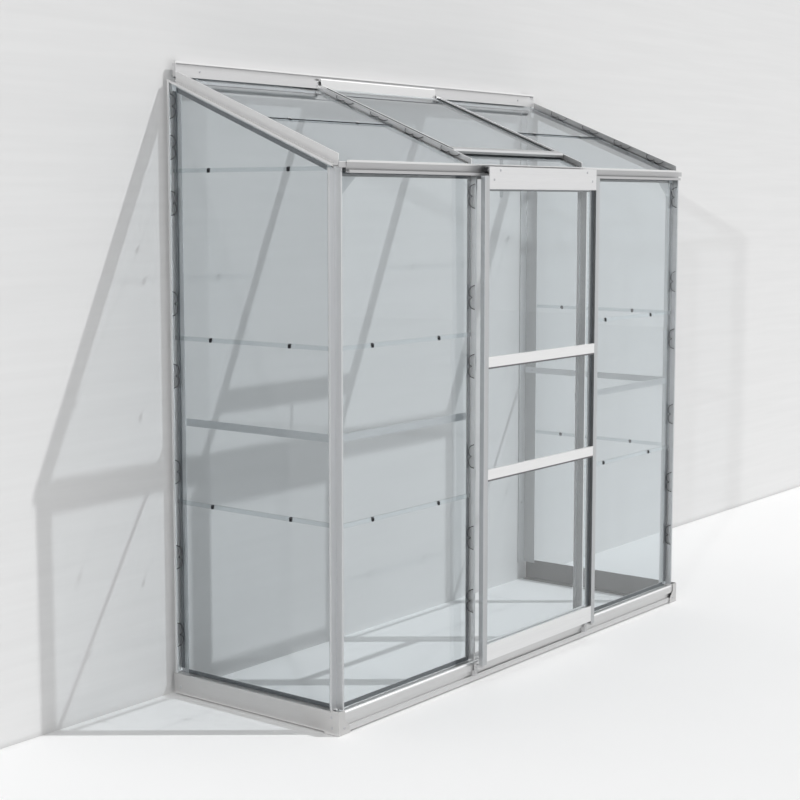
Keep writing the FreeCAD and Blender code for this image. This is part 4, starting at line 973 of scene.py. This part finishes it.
def light_surroundings(scene, settings):
    """Even light on the object, and plain white where the surroundings are seen or mirrored."""
    scene.world = bpy.data.worlds.new("surroundings")
    scene.world.use_nodes = True
    tree = scene.world.node_tree
    tree.nodes.clear()
    colour = rgba(settings.world_colour)
    light, seen = [
        add_node(tree, "ShaderNodeBackground", {"Color": colour, "Strength": level})
        for level in (settings.world_strength, 1.0)]
    path = add_node(tree, "ShaderNodeLightPath").outputs
    straight = maths(tree, "MAXIMUM", path["Is Camera Ray"], path["Is Glossy Ray"])
    view = maths(tree, "MAXIMUM", straight, path["Is Transmission Ray"])
    show(tree, mixed(tree, view, light, seen), "World")


class GREENHOUSE_OT_stage(Operator):
    """Sets up the wall, the floor, the lamps, the surroundings and the camera"""

    bl_idname = "greenhouse.stage"
    bl_label = "Set stage"

    def execute(self, context):
        settings = settings_of(context).stage
        scene = context.scene
        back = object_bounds()[1][1] + STAGE_GAP
        low, high, reach = -STAGE_GAP, WALL_HEIGHT, STAGE_REACH
        plane("wall", [(-reach, back, low), (reach, back, low), (reach, back, high),
                       (-reach, back, high)],
              stage_material("Painted wall", settings.wall_colour, WALL_MARKS, WALL_SCALE))
        plane("floor", [(-reach, -reach, low), (reach, -reach, low), (reach, reach, low),
                        (-reach, reach, low)],
              stage_material("Pale floor", settings.floor_colour, FLOOR_MARKS, FLOOR_SCALE))
        sun("key lamp", settings.key_strength, settings.key_direction, settings.key_spread)
        sun("fill lamp", settings.fill_strength, settings.fill_direction, settings.fill_spread)
        light_surroundings(scene, settings)
        scene.view_settings.view_transform = "Standard"
        camera = bpy.data.cameras.new("camera")
        camera.lens = settings.camera_lens
        camera.sensor_width = SENSOR_WIDTH
        camera.shift_y = settings.camera_lift
        camera.clip_end = FAR_CLIP
        scene.camera = new_object("camera", camera)
        scene.camera.location = settings.camera_place
        scene.camera.rotation_euler = (
            math.pi / 2.0 - settings.camera_dip, 0.0, -settings.camera_turn)
        return {"FINISHED"}


class GREENHOUSE_PT_panel(Panel):
    """Lists the greenhouse's operators and settings"""

    bl_label = "Greenhouse"
    bl_idname = "GREENHOUSE_PT_panel"
    bl_space_type = "VIEW_3D"
    bl_region_type = "UI"
    bl_category = "Greenhouse"

    def draw(self, context):
        everything = settings_of(context)
        for operator in OPERATORS:
            self.layout.operator(operator.bl_idname)
        for part in GREENHOUSE_PG_all.__annotations__:
            box = self.layout.box()
            box.label(text=part.title())
            group = getattr(everything, part)
            for key in group.__annotations__:
                box.prop(group, key)


OPERATORS = [
    GREENHOUSE_OT_frame,
    GREENHOUSE_OT_door,
    GREENHOUSE_OT_vent,
    GREENHOUSE_OT_glass,
    GREENHOUSE_OT_rubber,
    GREENHOUSE_OT_clips,
    GREENHOUSE_OT_screws,
    GREENHOUSE_OT_stage,
]
CLASSES = [
    GREENHOUSE_PG_metal,
    GREENHOUSE_PG_glass,
    GREENHOUSE_PG_soft,
    GREENHOUSE_PG_clips,
    GREENHOUSE_PG_screws,
    GREENHOUSE_PG_stage,
    GREENHOUSE_PG_all,
    *OPERATORS,
    GREENHOUSE_PT_panel,
]


def register():
    for item in CLASSES:
        bpy.utils.register_class(item)
    bpy.types.Scene.greenhouse = PointerProperty(type=GREENHOUSE_PG_all)


def unregister():
    del bpy.types.Scene.greenhouse
    for item in reversed(CLASSES):
        bpy.utils.unregister_class(item)


def main():
    register()
    bpy.ops.greenhouse.frame()
    bpy.ops.greenhouse.door()
    bpy.ops.greenhouse.vent()
    bpy.ops.greenhouse.glass()
    bpy.ops.greenhouse.rubber()
    bpy.ops.greenhouse.clips()
    bpy.ops.greenhouse.screws()
    bpy.ops.greenhouse.stage()


if __name__ == "__main__":
    main()
